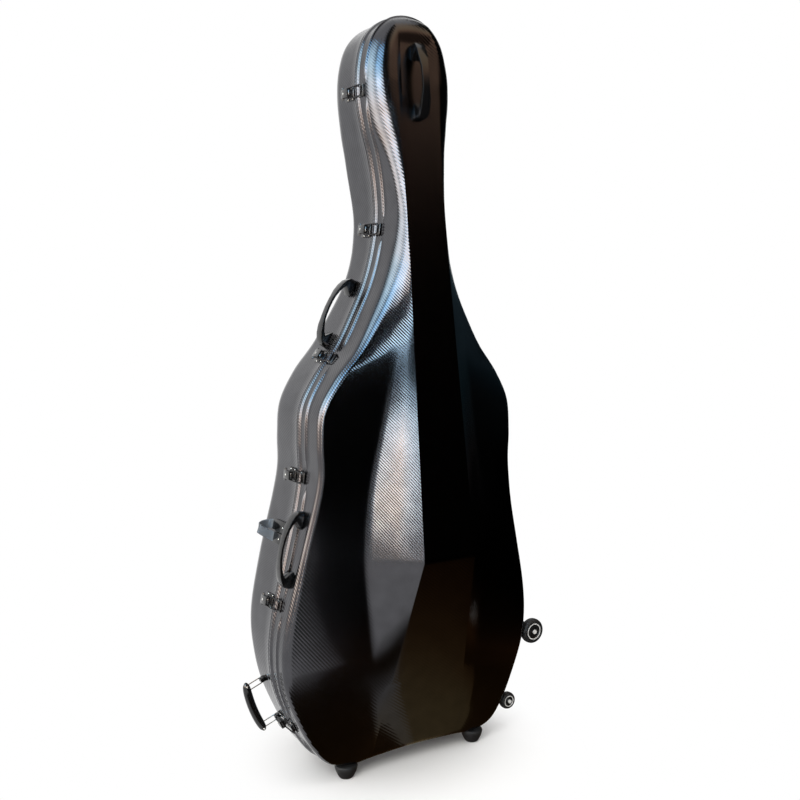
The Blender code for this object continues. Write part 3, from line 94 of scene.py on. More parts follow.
def twill_laminate():
    """Carbon-fibre twill under gloss resin, laid up by hand in a mould.

    The tows are 2.2 mm wide and pass over two and under two, so the pattern steps down to the
    right. Its slight relief prints through the resin and breaks each highlight's edge into
    stripes; the resin gives the sharp white reflections, the fibre the dim brown ones.
    """
    made, tree, shader = blank("carbon_twill_in_gloss_resin", Metallic=1.0, Coat_Weight=0.25,
                               Coat_Roughness=0.03, Coat_IOR=1.5)
    place = put(tree, "ShaderNodeUVMap", {"uv_map": "weave"}).outputs["UV"]
    parts = put(tree, "ShaderNodeSeparateXYZ", links={0: place})
    cells = []
    for axis, width in ((0, TOW / TWILL_SLOPE), (1, TOW)):
        scaled = put(tree, "ShaderNodeMath", {"operation": "DIVIDE", 1: width}, {0: parts.outputs[axis]})
        cell = put(tree, "ShaderNodeMath", {"operation": "FLOOR"}, {0: scaled.outputs[0]})
        cells.append((scaled.outputs[0], cell.outputs[0]))
    step = put(tree, "ShaderNodeMath", {"operation": "ADD"}, {0: cells[0][1], 1: cells[1][1]})
    turn = put(tree, "ShaderNodeMath", {"operation": "FLOORED_MODULO", 1: 4.0}, {0: step.outputs[0]})
    upright = put(tree, "ShaderNodeMath", {"operation": "LESS_THAN", 1: 1.5}, {0: turn.outputs[0]})
    mask = upright.outputs[0]

    run = put(tree, "ShaderNodeMath", {"operation": "ADD"}, {0: cells[0][0], 1: cells[1][0]})
    phase = put(tree, "ShaderNodeMath", {"operation": "MULTIPLY", 1: math.pi / 2}, {0: run.outputs[0]})
    wave = put(tree, "ShaderNodeMath", {"operation": "SINE"}, {0: phase.outputs[0]})
    relief = put(tree, "ShaderNodeBump", {"Strength": 1.0, "Distance": 0.00008}, {"Height": wave.outputs[0]})
    tows = put(tree, "ShaderNodeBump", {"Strength": 1.0, "Distance": 0.00001},
               {"Height": mask, "Normal": relief.outputs[0]})
    lobe = put(tree, "ShaderNodeMapRange", {"To Min": 0.07, "To Max": 0.23}, {"Value": mask})
    uneven = put(tree, "ShaderNodeTexNoise", {"Scale": 26.0, "Detail": 3.0},
                 {"Vector": put(tree, "ShaderNodeTexCoord").outputs["Object"]})
    depth = put(tree, "ShaderNodeMix", {"data_type": "RGBA", "Factor": 0.5},
                {"Factor": mask})
    depth.inputs[6].default_value = colour("#4d4d51")
    depth.inputs[7].default_value = colour("#4d4d50")
    patches = put(tree, "ShaderNodeValToRGB", {"stops": [(0.3, "#e6e6e6"), (0.7, "#ffffff")]},
                  {"Fac": uneven.outputs["Fac"]})
    shade = put(tree, "ShaderNodeMix", {"data_type": "RGBA", "blend_type": "MULTIPLY"},
                {6: depth.outputs[2], 7: patches.outputs["Color"]})
    shade.inputs[0].default_value = 1.0
    tree.links.new(shade.outputs[2], shader.inputs["Base Color"])
    tree.links.new(tows.outputs[0], shader.inputs["Normal"])
    tree.links.new(relief.outputs[0], shader.inputs["Coat Normal"])
    tree.links.new(lobe.outputs[0], shader.inputs["Roughness"])
    return made


def grained(name, base, roughness, scale, distance, spread=0.08, **values):
    """A finish with a fine grain: scale is grains per metre, distance their height."""
    made, tree, shader = blank(name, Base_Color=colour(base), Roughness=roughness, **values)
    place = put(tree, "ShaderNodeTexCoord").outputs["Object"]
    grain = put(tree, "ShaderNodeTexNoise", {"Scale": scale, "Detail": 2.0}, {"Vector": place})
    bump = put(tree, "ShaderNodeBump", {"Strength": 1.0, "Distance": distance}, {"Height": grain.outputs["Fac"]})
    wear = put(tree, "ShaderNodeTexNoise", {"Scale": 40.0, "Detail": 4.0}, {"Vector": place})
    rough = put(tree, "ShaderNodeMapRange", {"To Min": roughness - spread, "To Max": roughness + spread},
                {"Value": wear.outputs["Fac"]})
    tree.links.new(bump.outputs[0], shader.inputs["Normal"])
    tree.links.new(rough.outputs[0], shader.inputs["Roughness"])
    return made


def moulded_gloss():
    """Injection-moulded ABS, polished tool: deep black with soft, slightly wavy reflections."""
    return grained("gloss_abs", "#0c0c0d", 0.14, 90.0, 0.00004, 0.05, IOR=1.53)


def glass_nylon():
    """Glass-filled nylon of wheel hubs and brackets: satin black, faintly mottled."""
    return grained("glass_filled_nylon", "#141415", 0.45, 900.0, 0.00003, IOR=1.53)


def powder_coat():
    """Black powder coat on die-cast zinc: fine orange peel, semi-gloss."""
    return grained("black_powder_coat", "#111112", 0.26, 700.0, 0.00004, IOR=1.5, Coat_Weight=0.4)


def nickel():
    """Nickel-plated steel wire and rivets: bright with a faint warm cast and small scratches."""
    return grained("nickel_plate", "#d6d2cb", 0.16, 1500.0, 0.00001, 0.06, Metallic=1.0)


def black_nickel():
    """Black nickel plate on spring wire: a dark, smooth metal that shows only as thin lights."""
    return grained("black_nickel_plate", "#3a393a", 0.22, 1500.0, 0.00001, 0.05, Metallic=1.0)


def silver_lacquer():
    """Silver lacquer on pressed steel: pale and even, its flakes too fine to see."""
    return grained("silver_lacquer", "#c6c6c4", 0.35, 1200.0, 0.00001, 0.05, Coat_Weight=0.5)


def vulcanised(name="vulcanised_rubber", base="#161617"):
    """Moulded rubber of tyres, feet and seal: matt, dark grey at grazing light."""
    return grained(name, base, 0.62, 600.0, 0.00006, IOR=1.52)


def webbing():
    """Nylon webbing, flat woven: ribs 1.6 mm apart across the band, a slight sheen."""
    made, tree, shader = blank("woven_nylon_webbing", Roughness=0.6, Sheen_Weight=0.4)
    place = put(tree, "ShaderNodeUVMap", {"uv_map": "weave"}).outputs["UV"]
    ribs = put(tree, "ShaderNodeTexWave", {"wave_type": "BANDS", "bands_direction": "X",
                                           "Scale": 1.0 / 0.0016 / 3.18}, {"Vector": place})
    tone = put(tree, "ShaderNodeValToRGB", {"stops": [(0.2, "#3b4148"), (0.9, "#5a626b")]},
               {"Fac": ribs.outputs["Fac"]})
    bump = put(tree, "ShaderNodeBump", {"Strength": 1.0, "Distance": 0.0002}, {"Height": ribs.outputs["Fac"]})
    tree.links.new(tone.outputs["Color"], shader.inputs["Base Color"])
    tree.links.new(bump.outputs[0], shader.inputs["Normal"])
    return made


def plush():
    """Short-pile velour glued to foam: soft dark grey that lightens where the pile is seen edge-on."""
    made, tree, shader = blank("velour_plush", Roughness=0.95, Sheen_Weight=0.6, Sheen_Roughness=0.5)
    place = put(tree, "ShaderNodeTexCoord").outputs["Object"]
    pile = put(tree, "ShaderNodeTexNoise", {"Scale": 420.0, "Detail": 2.0}, {"Vector": place})
    brushed = put(tree, "ShaderNodeTexNoise", {"Scale": 9.0, "Detail": 3.0, "Distortion": 0.6},
                  {"Vector": place})
    mixed = put(tree, "ShaderNodeMath", {"operation": "MULTIPLY"},
                {0: pile.outputs["Fac"], 1: brushed.outputs["Fac"]})
    tone = put(tree, "ShaderNodeValToRGB", {"stops": [(0.12, "#26272b"), (0.42, "#45474e")]},
               {"Fac": mixed.outputs[0]})
    bump = put(tree, "ShaderNodeBump", {"Strength": 0.8, "Distance": 0.0008}, {"Height": pile.outputs["Fac"]})
    tree.links.new(tone.outputs["Color"], shader.inputs["Base Color"])
    tree.links.new(bump.outputs[0], shader.inputs["Normal"])
    return made


def pad_cloth():
    """Woven polyester over foam: threads 1.2 mm apart, drawn coarse enough to show."""
    made, tree, shader = blank("woven_polyester", Roughness=0.85, Sheen_Weight=0.3)
    place = put(tree, "ShaderNodeTexCoord").outputs["Object"]
    threads = [put(tree, "ShaderNodeTexWave", {"wave_type": "BANDS", "bands_direction": way,
                                               "Scale": 1.0 / 0.0012 / 3.18}, {"Vector": place})
               for way in ("Y", "Z")]
    crossed = put(tree, "ShaderNodeMath", {"operation": "MULTIPLY"},
                  {0: threads[0].outputs["Fac"], 1: threads[1].outputs["Fac"]})
    tone = put(tree, "ShaderNodeValToRGB", {"stops": [(0.0, "#1f2024"), (0.8, "#3c3e45")]},
               {"Fac": crossed.outputs[0]})
    bump = put(tree, "ShaderNodeBump", {"Strength": 0.7, "Distance": 0.0003}, {"Height": crossed.outputs[0]})
    tree.links.new(tone.outputs["Color"], shader.inputs["Base Color"])
    tree.links.new(bump.outputs[0], shader.inputs["Normal"])
    return made


LAMINATE = twill_laminate()
GLOSS = moulded_gloss()
NYLON = glass_nylon()
POWDER = powder_coat()
NICKEL = nickel()
BLACK_NICKEL = black_nickel()
SILVER = silver_lacquer()
RUBBER = vulcanised()
SEAL = vulcanised("extruded_seal_rubber", "#0e0e0f")
WEBBING = webbing()
PLUSH = plush()
CLOTH = pad_cloth()
PIPING_CLOTH = grained("corded_piping_cloth", "#16171a", 0.8, 900.0, 0.0001)


# Pieces

def piece(name, mesh, finish, body, stands_for=(), smooth=35.0):
    """Put a finished mesh in the scene, shaded smooth up to an angle, riding on its body."""
    made = bpy.data.objects.new(name, mesh)
    mesh.name = name
    bpy.context.scene.collection.objects.link(made)
    mesh.materials.clear()
    mesh.materials.append(finish)
    mesh.shade_smooth()
    mesh.set_sharp_from_angle(angle=math.radians(smooth))
    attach(made, body)
    if stands_for:
        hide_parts(*stands_for)
    return made


def mesh_of(bm, name="piece"):
    mesh = bpy.data.meshes.new(name)
    bm.to_mesh(mesh)
    bm.free()
    return mesh


def settled(made):
    """Plain mesh of an object with its modifiers applied; the object is removed."""
    bpy.context.view_layer.update()
    graph = bpy.context.evaluated_depsgraph_get()
    mesh = bpy.data.meshes.new_from_object(made.evaluated_get(graph))
    mesh.transform(made.matrix_world)
    bpy.data.objects.remove(made, do_unlink=True)
    return mesh


def scratch(data, name="scratch"):
    made = bpy.data.objects.new(name, data)
    bpy.context.scene.collection.objects.link(made)
    return made


def node_mesh(node):
    """Merged copy of a CAD node's mesh, its flat faces whole again."""
    bm = bmesh.new()
    bm.from_mesh(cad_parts[node].data)
    bmesh.ops.remove_doubles(bm, verts=bm.verts, dist=0.00001)
    bmesh.ops.recalc_face_normals(bm, faces=bm.faces)
    bmesh.ops.dissolve_limit(bm, angle_limit=math.radians(1.0), verts=bm.verts, edges=bm.edges)
    return mesh_of(bm, node)


def eased(node, finish, body, radius, segments=2, angle=25.0, name=None):
    """A CAD node's own form with its edges rounded."""
    made = scratch(node_mesh(node))
    step = made.modifiers.new("edges", "BEVEL")
    step.width = radius
    step.segments = segments
    step.limit_method = "ANGLE"
    step.angle_limit = math.radians(angle)
    step.harden_normals = False
    mesh = settled(made)
    return piece(name or node + "_eased", mesh, finish, body, (node,), 40.0)


def lathe(profile, steps, frame_matrix):
    """Turned mesh about local Z from (radius, height) points, closed at both ends on the axis."""
    bm = bmesh.new()
    rows = []
    for radius, height in profile:
        if radius < 1e-6:
            rows.append([bm.verts.new((0.0, 0.0, height))])
        else:
            rows.append([bm.verts.new((radius * math.cos(2 * math.pi * k / steps),
                                       radius * math.sin(2 * math.pi * k / steps), height))
                         for k in range(steps)])
    for low, high in zip(rows[:-1], rows[1:]):
        for k in range(steps):
            ring = [low[k % len(low)], low[(k + 1) % len(low)], high[(k + 1) % len(high)], high[k % len(high)]]
            unique = list(dict.fromkeys(ring))
            if len(unique) > 2:
                bm.faces.new(unique)
    if len(rows[0]) > 1 and len(rows[-1]) > 1:
        for k in range(steps):
            bm.faces.new((rows[-1][k], rows[-1][(k + 1) % steps], rows[0][(k + 1) % steps], rows[0][k]))
    bmesh.ops.recalc_face_normals(bm, faces=bm.faces)
    bm.transform(frame_matrix)
    return mesh_of(bm, "turned")


def swept(sections, endless=False):
    """Tube through rings of points, all with as many points; it is endless or its ends are capped."""
    bm = bmesh.new()
    rings = [[bm.verts.new(p) for p in section] for section in sections]
    count = len(rings[0])
    for low, high in zip(rings, rings[1:] + (rings[:1] if endless else [])):
        for k in range(count):
            bm.faces.new((low[k], low[(k + 1) % count], high[(k + 1) % count], high[k]))
    if not endless:
        bm.faces.new(rings[0][::-1])
        bm.faces.new(rings[-1])
    bmesh.ops.recalc_face_normals(bm, faces=bm.faces)
    return mesh_of(bm, "swept")


def wire(points, radius, resolution=5, endless=False):
    """Round wire or cord through points."""
    curve = bpy.data.curves.new("wire", "CURVE")
    curve.dimensions = "3D"
    curve.bevel_depth = radius
    curve.bevel_resolution = resolution
    curve.use_fill_caps = True
    spline = curve.splines.new("POLY")
    spline.points.add(len(points) - 1)
    for point, place in zip(spline.points, points):
        point.co = (*place, 1.0)
    spline.use_cyclic_u = endless
    return settled(scratch(curve))


def bent(corners, radius, steps=6):
    """Points of a path whose corners are rounded."""
    corners = [Vector(c) for c in corners]
    out = [corners[0]]
    for before, corner, after in zip(corners[:-2], corners[1:-1], corners[2:]):
        back, ahead = before - corner, after - corner
        reach = min(radius, 0.45 * back.length, 0.45 * ahead.length)
        start, end = corner + back.normalized() * reach, corner + ahead.normalized() * reach
        for k in range(steps + 1):
            t = k / steps
            out.append(start * (1 - t) ** 2 + corner * 2 * t * (1 - t) + end * t * t)
    return out + [corners[-1]]


# Seats: origin, direction along the wall and direction out of it, as the solids have them

SEATS = {
    "latch_1": ((-0.34505, 0.02594, 0.14986), (-0.43252, 0.0, 0.90163), (-0.90163, 0.0, -0.43252)),
    "latch_2": ((-0.38193, 0.02594, 0.48107), (0.19845, 0.0, 0.98011), (-0.98011, 0.0, 0.19845)),
    "latch_3": ((-0.31168, 0.02594, 0.80514), (0.07738, 0.0, 0.99700), (-0.99700, 0.0, 0.07738)),
    "latch_4": ((-0.22397, 0.02594, 1.10920), (0.59094, 0.0, 0.80672), (-0.80672, 0.0, 0.59094)),
    "latch_5": ((-0.08581, 0.02594, 1.44024), (0.14409, 0.0, 0.98956), (-0.98956, 0.0, 0.14409)),
    "latch_6": ((-0.13421, 0.02594, 1.78699), (-0.01723, 0.0, 0.99985), (-0.99985, 0.0, -0.01723)),
    "upper_handle": ((-0.16196, 0.07794, 1.22050), (0.45613, 0.0, 0.88991), (-0.88991, 0.0, 0.45613)),
    "lower_handle": ((-0.34743, -0.02106, 0.62808), (0.23185, 0.0, 0.97275), (-0.97275, 0.0, 0.23185)),
    "head_handle": ((-0.01153, -0.06918, 1.80804), (0.0, 0.13107, 0.99137), (0.0, -0.99137, 0.13107)),
    "grip": ((-0.36805, 0.09344, 0.20453), (-0.35307, 0.0, 0.93560), (-0.93560, 0.0, -0.35307)),
    "loop": ((-0.34088, 0.07894, 0.65507), (0.23405, 0.0, 0.97222), (-0.97222, 0.0, 0.23405)),
    "back_large": ((0.36941, 0.02594, 0.28995), (-0.15635, 0.0, -0.98770), (0.98770, 0.0, -0.15635)),
    "front_large": ((0.36941, 0.02594, 0.28995), (0.15635, 0.0, 0.98770), (0.98770, 0.0, -0.15635)),
    "back_small": ((0.29761, 0.02594, 0.10563), (-0.55230, 0.0, -0.83364), (0.83364, 0.0, -0.55230)),
    "front_small": ((0.29761, 0.02594, 0.10563), (0.55230, 0.0, 0.83365), (0.83365, 0.0, -0.55230)),
    "lower_hinge": ((0.37238, 0.02594, 0.40429), (0.15393, 0.0, -0.98808), (0.98808, 0.0, 0.15393)),
    "left_pad": ((-0.36253, 0.02594, 0.50210), (-0.20937, 0.0, -0.97784), (0.97784, 0.0, -0.20937)),
    "right_pad": ((0.33947, 0.02594, 0.50210), (-0.20937, 0.0, 0.97784), (-0.97784, 0.0, -0.20937)),
    "upper_hinge": ((0.28415, 0.02594, 0.97068), (0.15393, 0.0, -0.98808), (0.98808, 0.0, 0.15393)),
}


def seat(name):
    origin, along, out = (Vector(v) for v in SEATS[name])
    along.normalize()
    out = (out - along * out.dot(along)).normalized()
    across = out.cross(along)
    made = Matrix.Identity(4)
    for column, axis in enumerate((along, across, out)):
        for line in range(3):
            made[line][column] = axis[line]
    made.translation = origin
    return made


# Shell form: the same stations as the solids have, run through far finer

RIM = [
    (0.0, 0.043), (0.110, 0.039), (0.205, 0.035), (0.262, 0.052), (0.305, 0.100),
    (0.347, 0.180), (0.379, 0.270), (0.387, 0.350), (0.380, 0.430), (0.347, 0.580),
    (0.309, 0.740), (0.297, 0.820), (0.299, 0.900), (0.292, 0.985), (0.250, 1.062),
    (0.188, 1.140), (0.144, 1.220), (0.107, 1.300), (0.083, 1.380), (0.070, 1.470),
    (0.074, 1.550), (0.088, 1.630), (0.108, 1.700), (0.122, 1.780), (0.119, 1.860),
    (0.098, 1.925), (0.052, 1.967), (0.0, 1.980),
]
STRIP_BOTTOM = (0.070, 0.135, 0.098)
STRIP_PEAK = (0.604, 0.078, 0.254)
STRIP_TOP = (1.905, 0.0445, 0.082)
BOTTOM_SPLIT = 0.150
TOP_SPLIT = 0.052
FRONT_CORNER = [
    (0.04, 0.090), (0.18, 0.083), (0.34, 0.086), (0.50, 0.092), (0.66, 0.098), (0.82, 0.114),
    (0.98, 0.113), (1.14, 0.121), (1.30, 0.122), (1.46, 0.124), (1.58, 0.112), (1.70, 0.090),
    (1.82, 0.082), (1.98, 0.080),
]
FRONT_RADIUS = [
    (0.04, 0.024), (0.34, 0.026), (1.08, 0.028), (1.16, 0.036), (1.26, 0.060), (1.38, 0.080),
    (1.62, 0.075), (1.78, 0.066), (1.98, 0.066),
]
CREASE_X = [
    (0.07, 0.1352), (0.20, 0.158), (0.40, 0.170), (0.604, 0.183), (0.80, 0.168), (0.95, 0.141),
    (1.10, 0.117), (1.25, 0.087), (1.35, 0.0615),
]
CREASE_DEPTH = [
    (0.07, 0.098), (0.20, 0.134), (0.40, 0.151), (0.604, 0.152), (0.80, 0.145), (0.95, 0.153),
    (1.10, 0.1605), (1.20, 0.1555), (1.25, 0.152), (1.30, 0.151), (1.35, 0.153),
]
CREASE_TOP = 1.35
CREASE_BLEND = 0.20
HEAD_CREASE = (0.80, 0.914, 0.0004)
CREASE_ROUND = 0.014
HEAD_BULGE = 0.006
BACK_CORNER = [
    (0.04, 0.104), (0.18, 0.108), (0.30, 0.130), (0.42, 0.171), (0.54, 0.184), (0.66, 0.184),
    (0.82, 0.172), (0.98, 0.163), (1.12, 0.168), (1.22, 0.150), (1.32, 0.121), (1.44, 0.122),
    (1.60, 0.146), (1.74, 0.138), (1.88, 0.136), (1.98, 0.128),
]
BACK_RADIUS = [
    (0.04, 0.042), (0.18, 0.044), (0.42, 0.050), (1.10, 0.050), (1.38, 0.046), (1.70, 0.060),
    (1.98, 0.075),
]
BACK_CROWN = [
    (0.09, 0.120), (0.25, 0.160), (0.42, 0.190), (0.60, 0.2015), (0.85, 0.192), (1.10, 0.180),
    (1.32, 0.142), (1.46, 0.138), (1.62, 0.154), (1.90, 0.145),
]
SPINE_HALF = 0.040
SPINE_BOTTOM = 0.110
SPINE_TOP = 1.890
WALL = 0.0035
PARTING_GAP = 0.0004
LIP_OUT = 0.004
LIP_STRAIGHT = 0.007
LIP_END = 0.0125
BEAD_DEPTH = 0.042
BEAD_HALF = 0.006
BEAD_HEIGHT = 0.004
BEAD_FADE = 0.030
BEAD_LATCH_BREAK = 0.020
LATCH_HEIGHTS = [0.150, 0.481, 0.805, 1.109, 1.440, 1.787]
LEFT_BREAKS = [(0.0, 0.060)] + [(h - BEAD_LATCH_BREAK, h + BEAD_LATCH_BREAK) for h in LATCH_HEIGHTS]
RIGHT_BREAKS = [(0.0, 0.470), (0.860, 1.020)]
BOTTOM_COLUMNS = 14
TOP_COLUMNS = 10
STATION_STEP = 0.0085
ARC_STEPS = 14


def through(height, stations):
    """Smooth value at a height, through (height, value) stations."""
    heights = np.array([s[0] for s in stations])
    values = np.array([s[1] for s in stations])
    slopes = np.gradient(values, heights)
    height = min(max(height, heights[0]), heights[-1])
    k = min(max(int(np.searchsorted(heights, height)) - 1, 0), len(heights) - 2)
    span = heights[k + 1] - heights[k]
    t = (height - heights[k]) / span
    start = values[k] * (1 + 2 * t) * (1 - t) ** 2 + slopes[k] * span * t * (1 - t) ** 2
    end = values[k + 1] * t * t * (3 - 2 * t) - slopes[k + 1] * span * t * t * (1 - t)
    return float(start + end)


def dense_rim(per_span=40):
    """Fine points of a smooth curve through the RIM stations."""
    points = np.array(RIM)
    mirror = np.array([-1.0, 1.0])
    points = np.vstack([points[1] * mirror, points, points[-2] * mirror])
    chords = np.sqrt(np.linalg.norm(np.diff(points, axis=0), axis=1))
    knots = np.concatenate([[0.0], np.cumsum(chords)])
    out = []
    for k in range(1, len(points) - 2):
        p0, p1, p2, p3 = points[k - 1:k + 3]
        t0, t1, t2, t3 = knots[k - 1:k + 3]
        for t in np.linspace(t1, t2, per_span, endpoint=False):
            a1 = (t1 - t) / (t1 - t0) * p0 + (t - t0) / (t1 - t0) * p1
            a2 = (t2 - t) / (t2 - t1) * p1 + (t - t1) / (t2 - t1) * p2
            a3 = (t3 - t) / (t3 - t2) * p2 + (t - t2) / (t3 - t2) * p3
            b1 = (t2 - t) / (t2 - t0) * a1 + (t - t0) / (t2 - t0) * a2
            b2 = (t3 - t) / (t3 - t1) * a2 + (t - t1) / (t3 - t1) * a3
            out.append((t2 - t) / (t2 - t1) * b1 + (t - t1) / (t2 - t1) * b2)
    out.append(points[-2])
    return np.array(out)


def fine_stations():
    """Half outline from bottom centre to top centre, and the indices of its strip's first and last side row."""
    fine = dense_rim()
    middle = len(fine) // 2
    low = int(np.argmin(np.abs(fine[:middle, 0] - BOTTOM_SPLIT)))
    high = middle + int(np.argmin(np.abs(fine[middle:, 0] - TOP_SPLIT)))
    run = np.concatenate([[0.0], np.cumsum(np.linalg.norm(np.diff(fine, axis=0), axis=1))])
    count = int(round((run[high] - run[low]) / STATION_STEP))
    marks = np.linspace(run[low], run[high], count + 1)
    bottom = np.linspace(0.0, run[low], BOTTOM_COLUMNS + 1)[:-1]
    top = np.linspace(run[high], run[-1], TOP_COLUMNS + 1)[1:]
    runs = np.concatenate([bottom, marks, top])
    points = np.stack([np.interp(runs, run, fine[:, 0]), np.interp(runs, run, fine[:, 1])], axis=1)
    points[0, 0] = points[-1, 0] = 0.0
    return points, BOTTOM_COLUMNS, BOTTOM_COLUMNS + count


def outward(points):
    padded = np.vstack([points[1] * [-1, 1], points, points[-2] * [-1, 1]])
    edges = np.diff(padded, axis=0)
    normals = np.stack([edges[:, 1], -edges[:, 0]], axis=1)
    normals /= np.linalg.norm(normals, axis=1)[:, None]
    joint = normals[:-1] + normals[1:]
    return joint / np.linalg.norm(joint, axis=1)[:, None]


def front_edge(height):
    low, high = (STRIP_BOTTOM, STRIP_PEAK) if height < STRIP_PEAK[0] else (STRIP_PEAK, STRIP_TOP)
    share = (height - low[0]) / (high[0] - low[0])
    return low[1] + (high[1] - low[1]) * share, low[2] + (high[2] - low[2]) * share


def back_edge(height):
    return SPINE_HALF, through(height, BACK_CROWN)


def front_section(rim, inner, half, depth):
    """Corner depth and radius, crease point and its rounding, for one front section."""
    run = float(np.linalg.norm(rim - inner))
    corner = through(rim[1], FRONT_CORNER)
    radius = through(rim[1], FRONT_RADIUS)
    height = inner[1]
    rising, falling = (height - CREASE_TOP) / 0.4, (STRIP_TOP[0] - height) / 0.1
    bulge = HEAD_BULGE * min(1.0, max(0.0, rising), max(0.0, falling))
    if STRIP_BOTTOM[0] < height < CREASE_TOP:
        share = (rim[0] - through(height, CREASE_X)) / (rim[0] - half)
        deep = through(height, CREASE_DEPTH)
    else:
        fading = min(1.0, max(0.0, 1.0 - (height - CREASE_TOP) / CREASE_BLEND)) if height > 1.0 else 0.0
        share = HEAD_CREASE[0] + (HEAD_CREASE[1] - HEAD_CREASE[0]) * fading
        deep = corner + (depth - corner) * share + bulge + HEAD_CREASE[2] * fading
    return run, corner, radius, (run * share, deep), CREASE_ROUND + 0.02 * min(1.0, max(0.0, rising))


def back_section(rim, inner, half, depth):
    run = float(np.linalg.norm(rim - inner))
    corner = min(through(rim[1], BACK_CORNER), depth - 0.004)
    radius = through(rim[1], BACK_RADIUS)
    middle = (run * 0.62, corner + (depth - corner) * 0.78)
    return run, corner, radius, middle, 0.05


def bead_share(height, breaks):
    nearest = min(max(low - height, height - high) for low, high in breaks)
    return min(1.0, max(0.0, nearest / BEAD_FADE))


def lip_profile():
    """(offset out of the wall, depth) round the lip: an eased edge, a flat and a swept foot."""
    return [(LIP_OUT - 0.0010, PARTING_GAP), (LIP_OUT - 0.0003, PARTING_GAP + 0.0003),
            (LIP_OUT, PARTING_GAP + 0.0010), (LIP_OUT, LIP_STRAIGHT - 0.0010),
            (LIP_OUT - 0.0004, LIP_STRAIGHT + 0.0004), (LIP_OUT * 0.45, LIP_END - 0.0022),
            (LIP_OUT * 0.12, LIP_END - 0.0004), (0.0, LIP_END + 0.0014)]


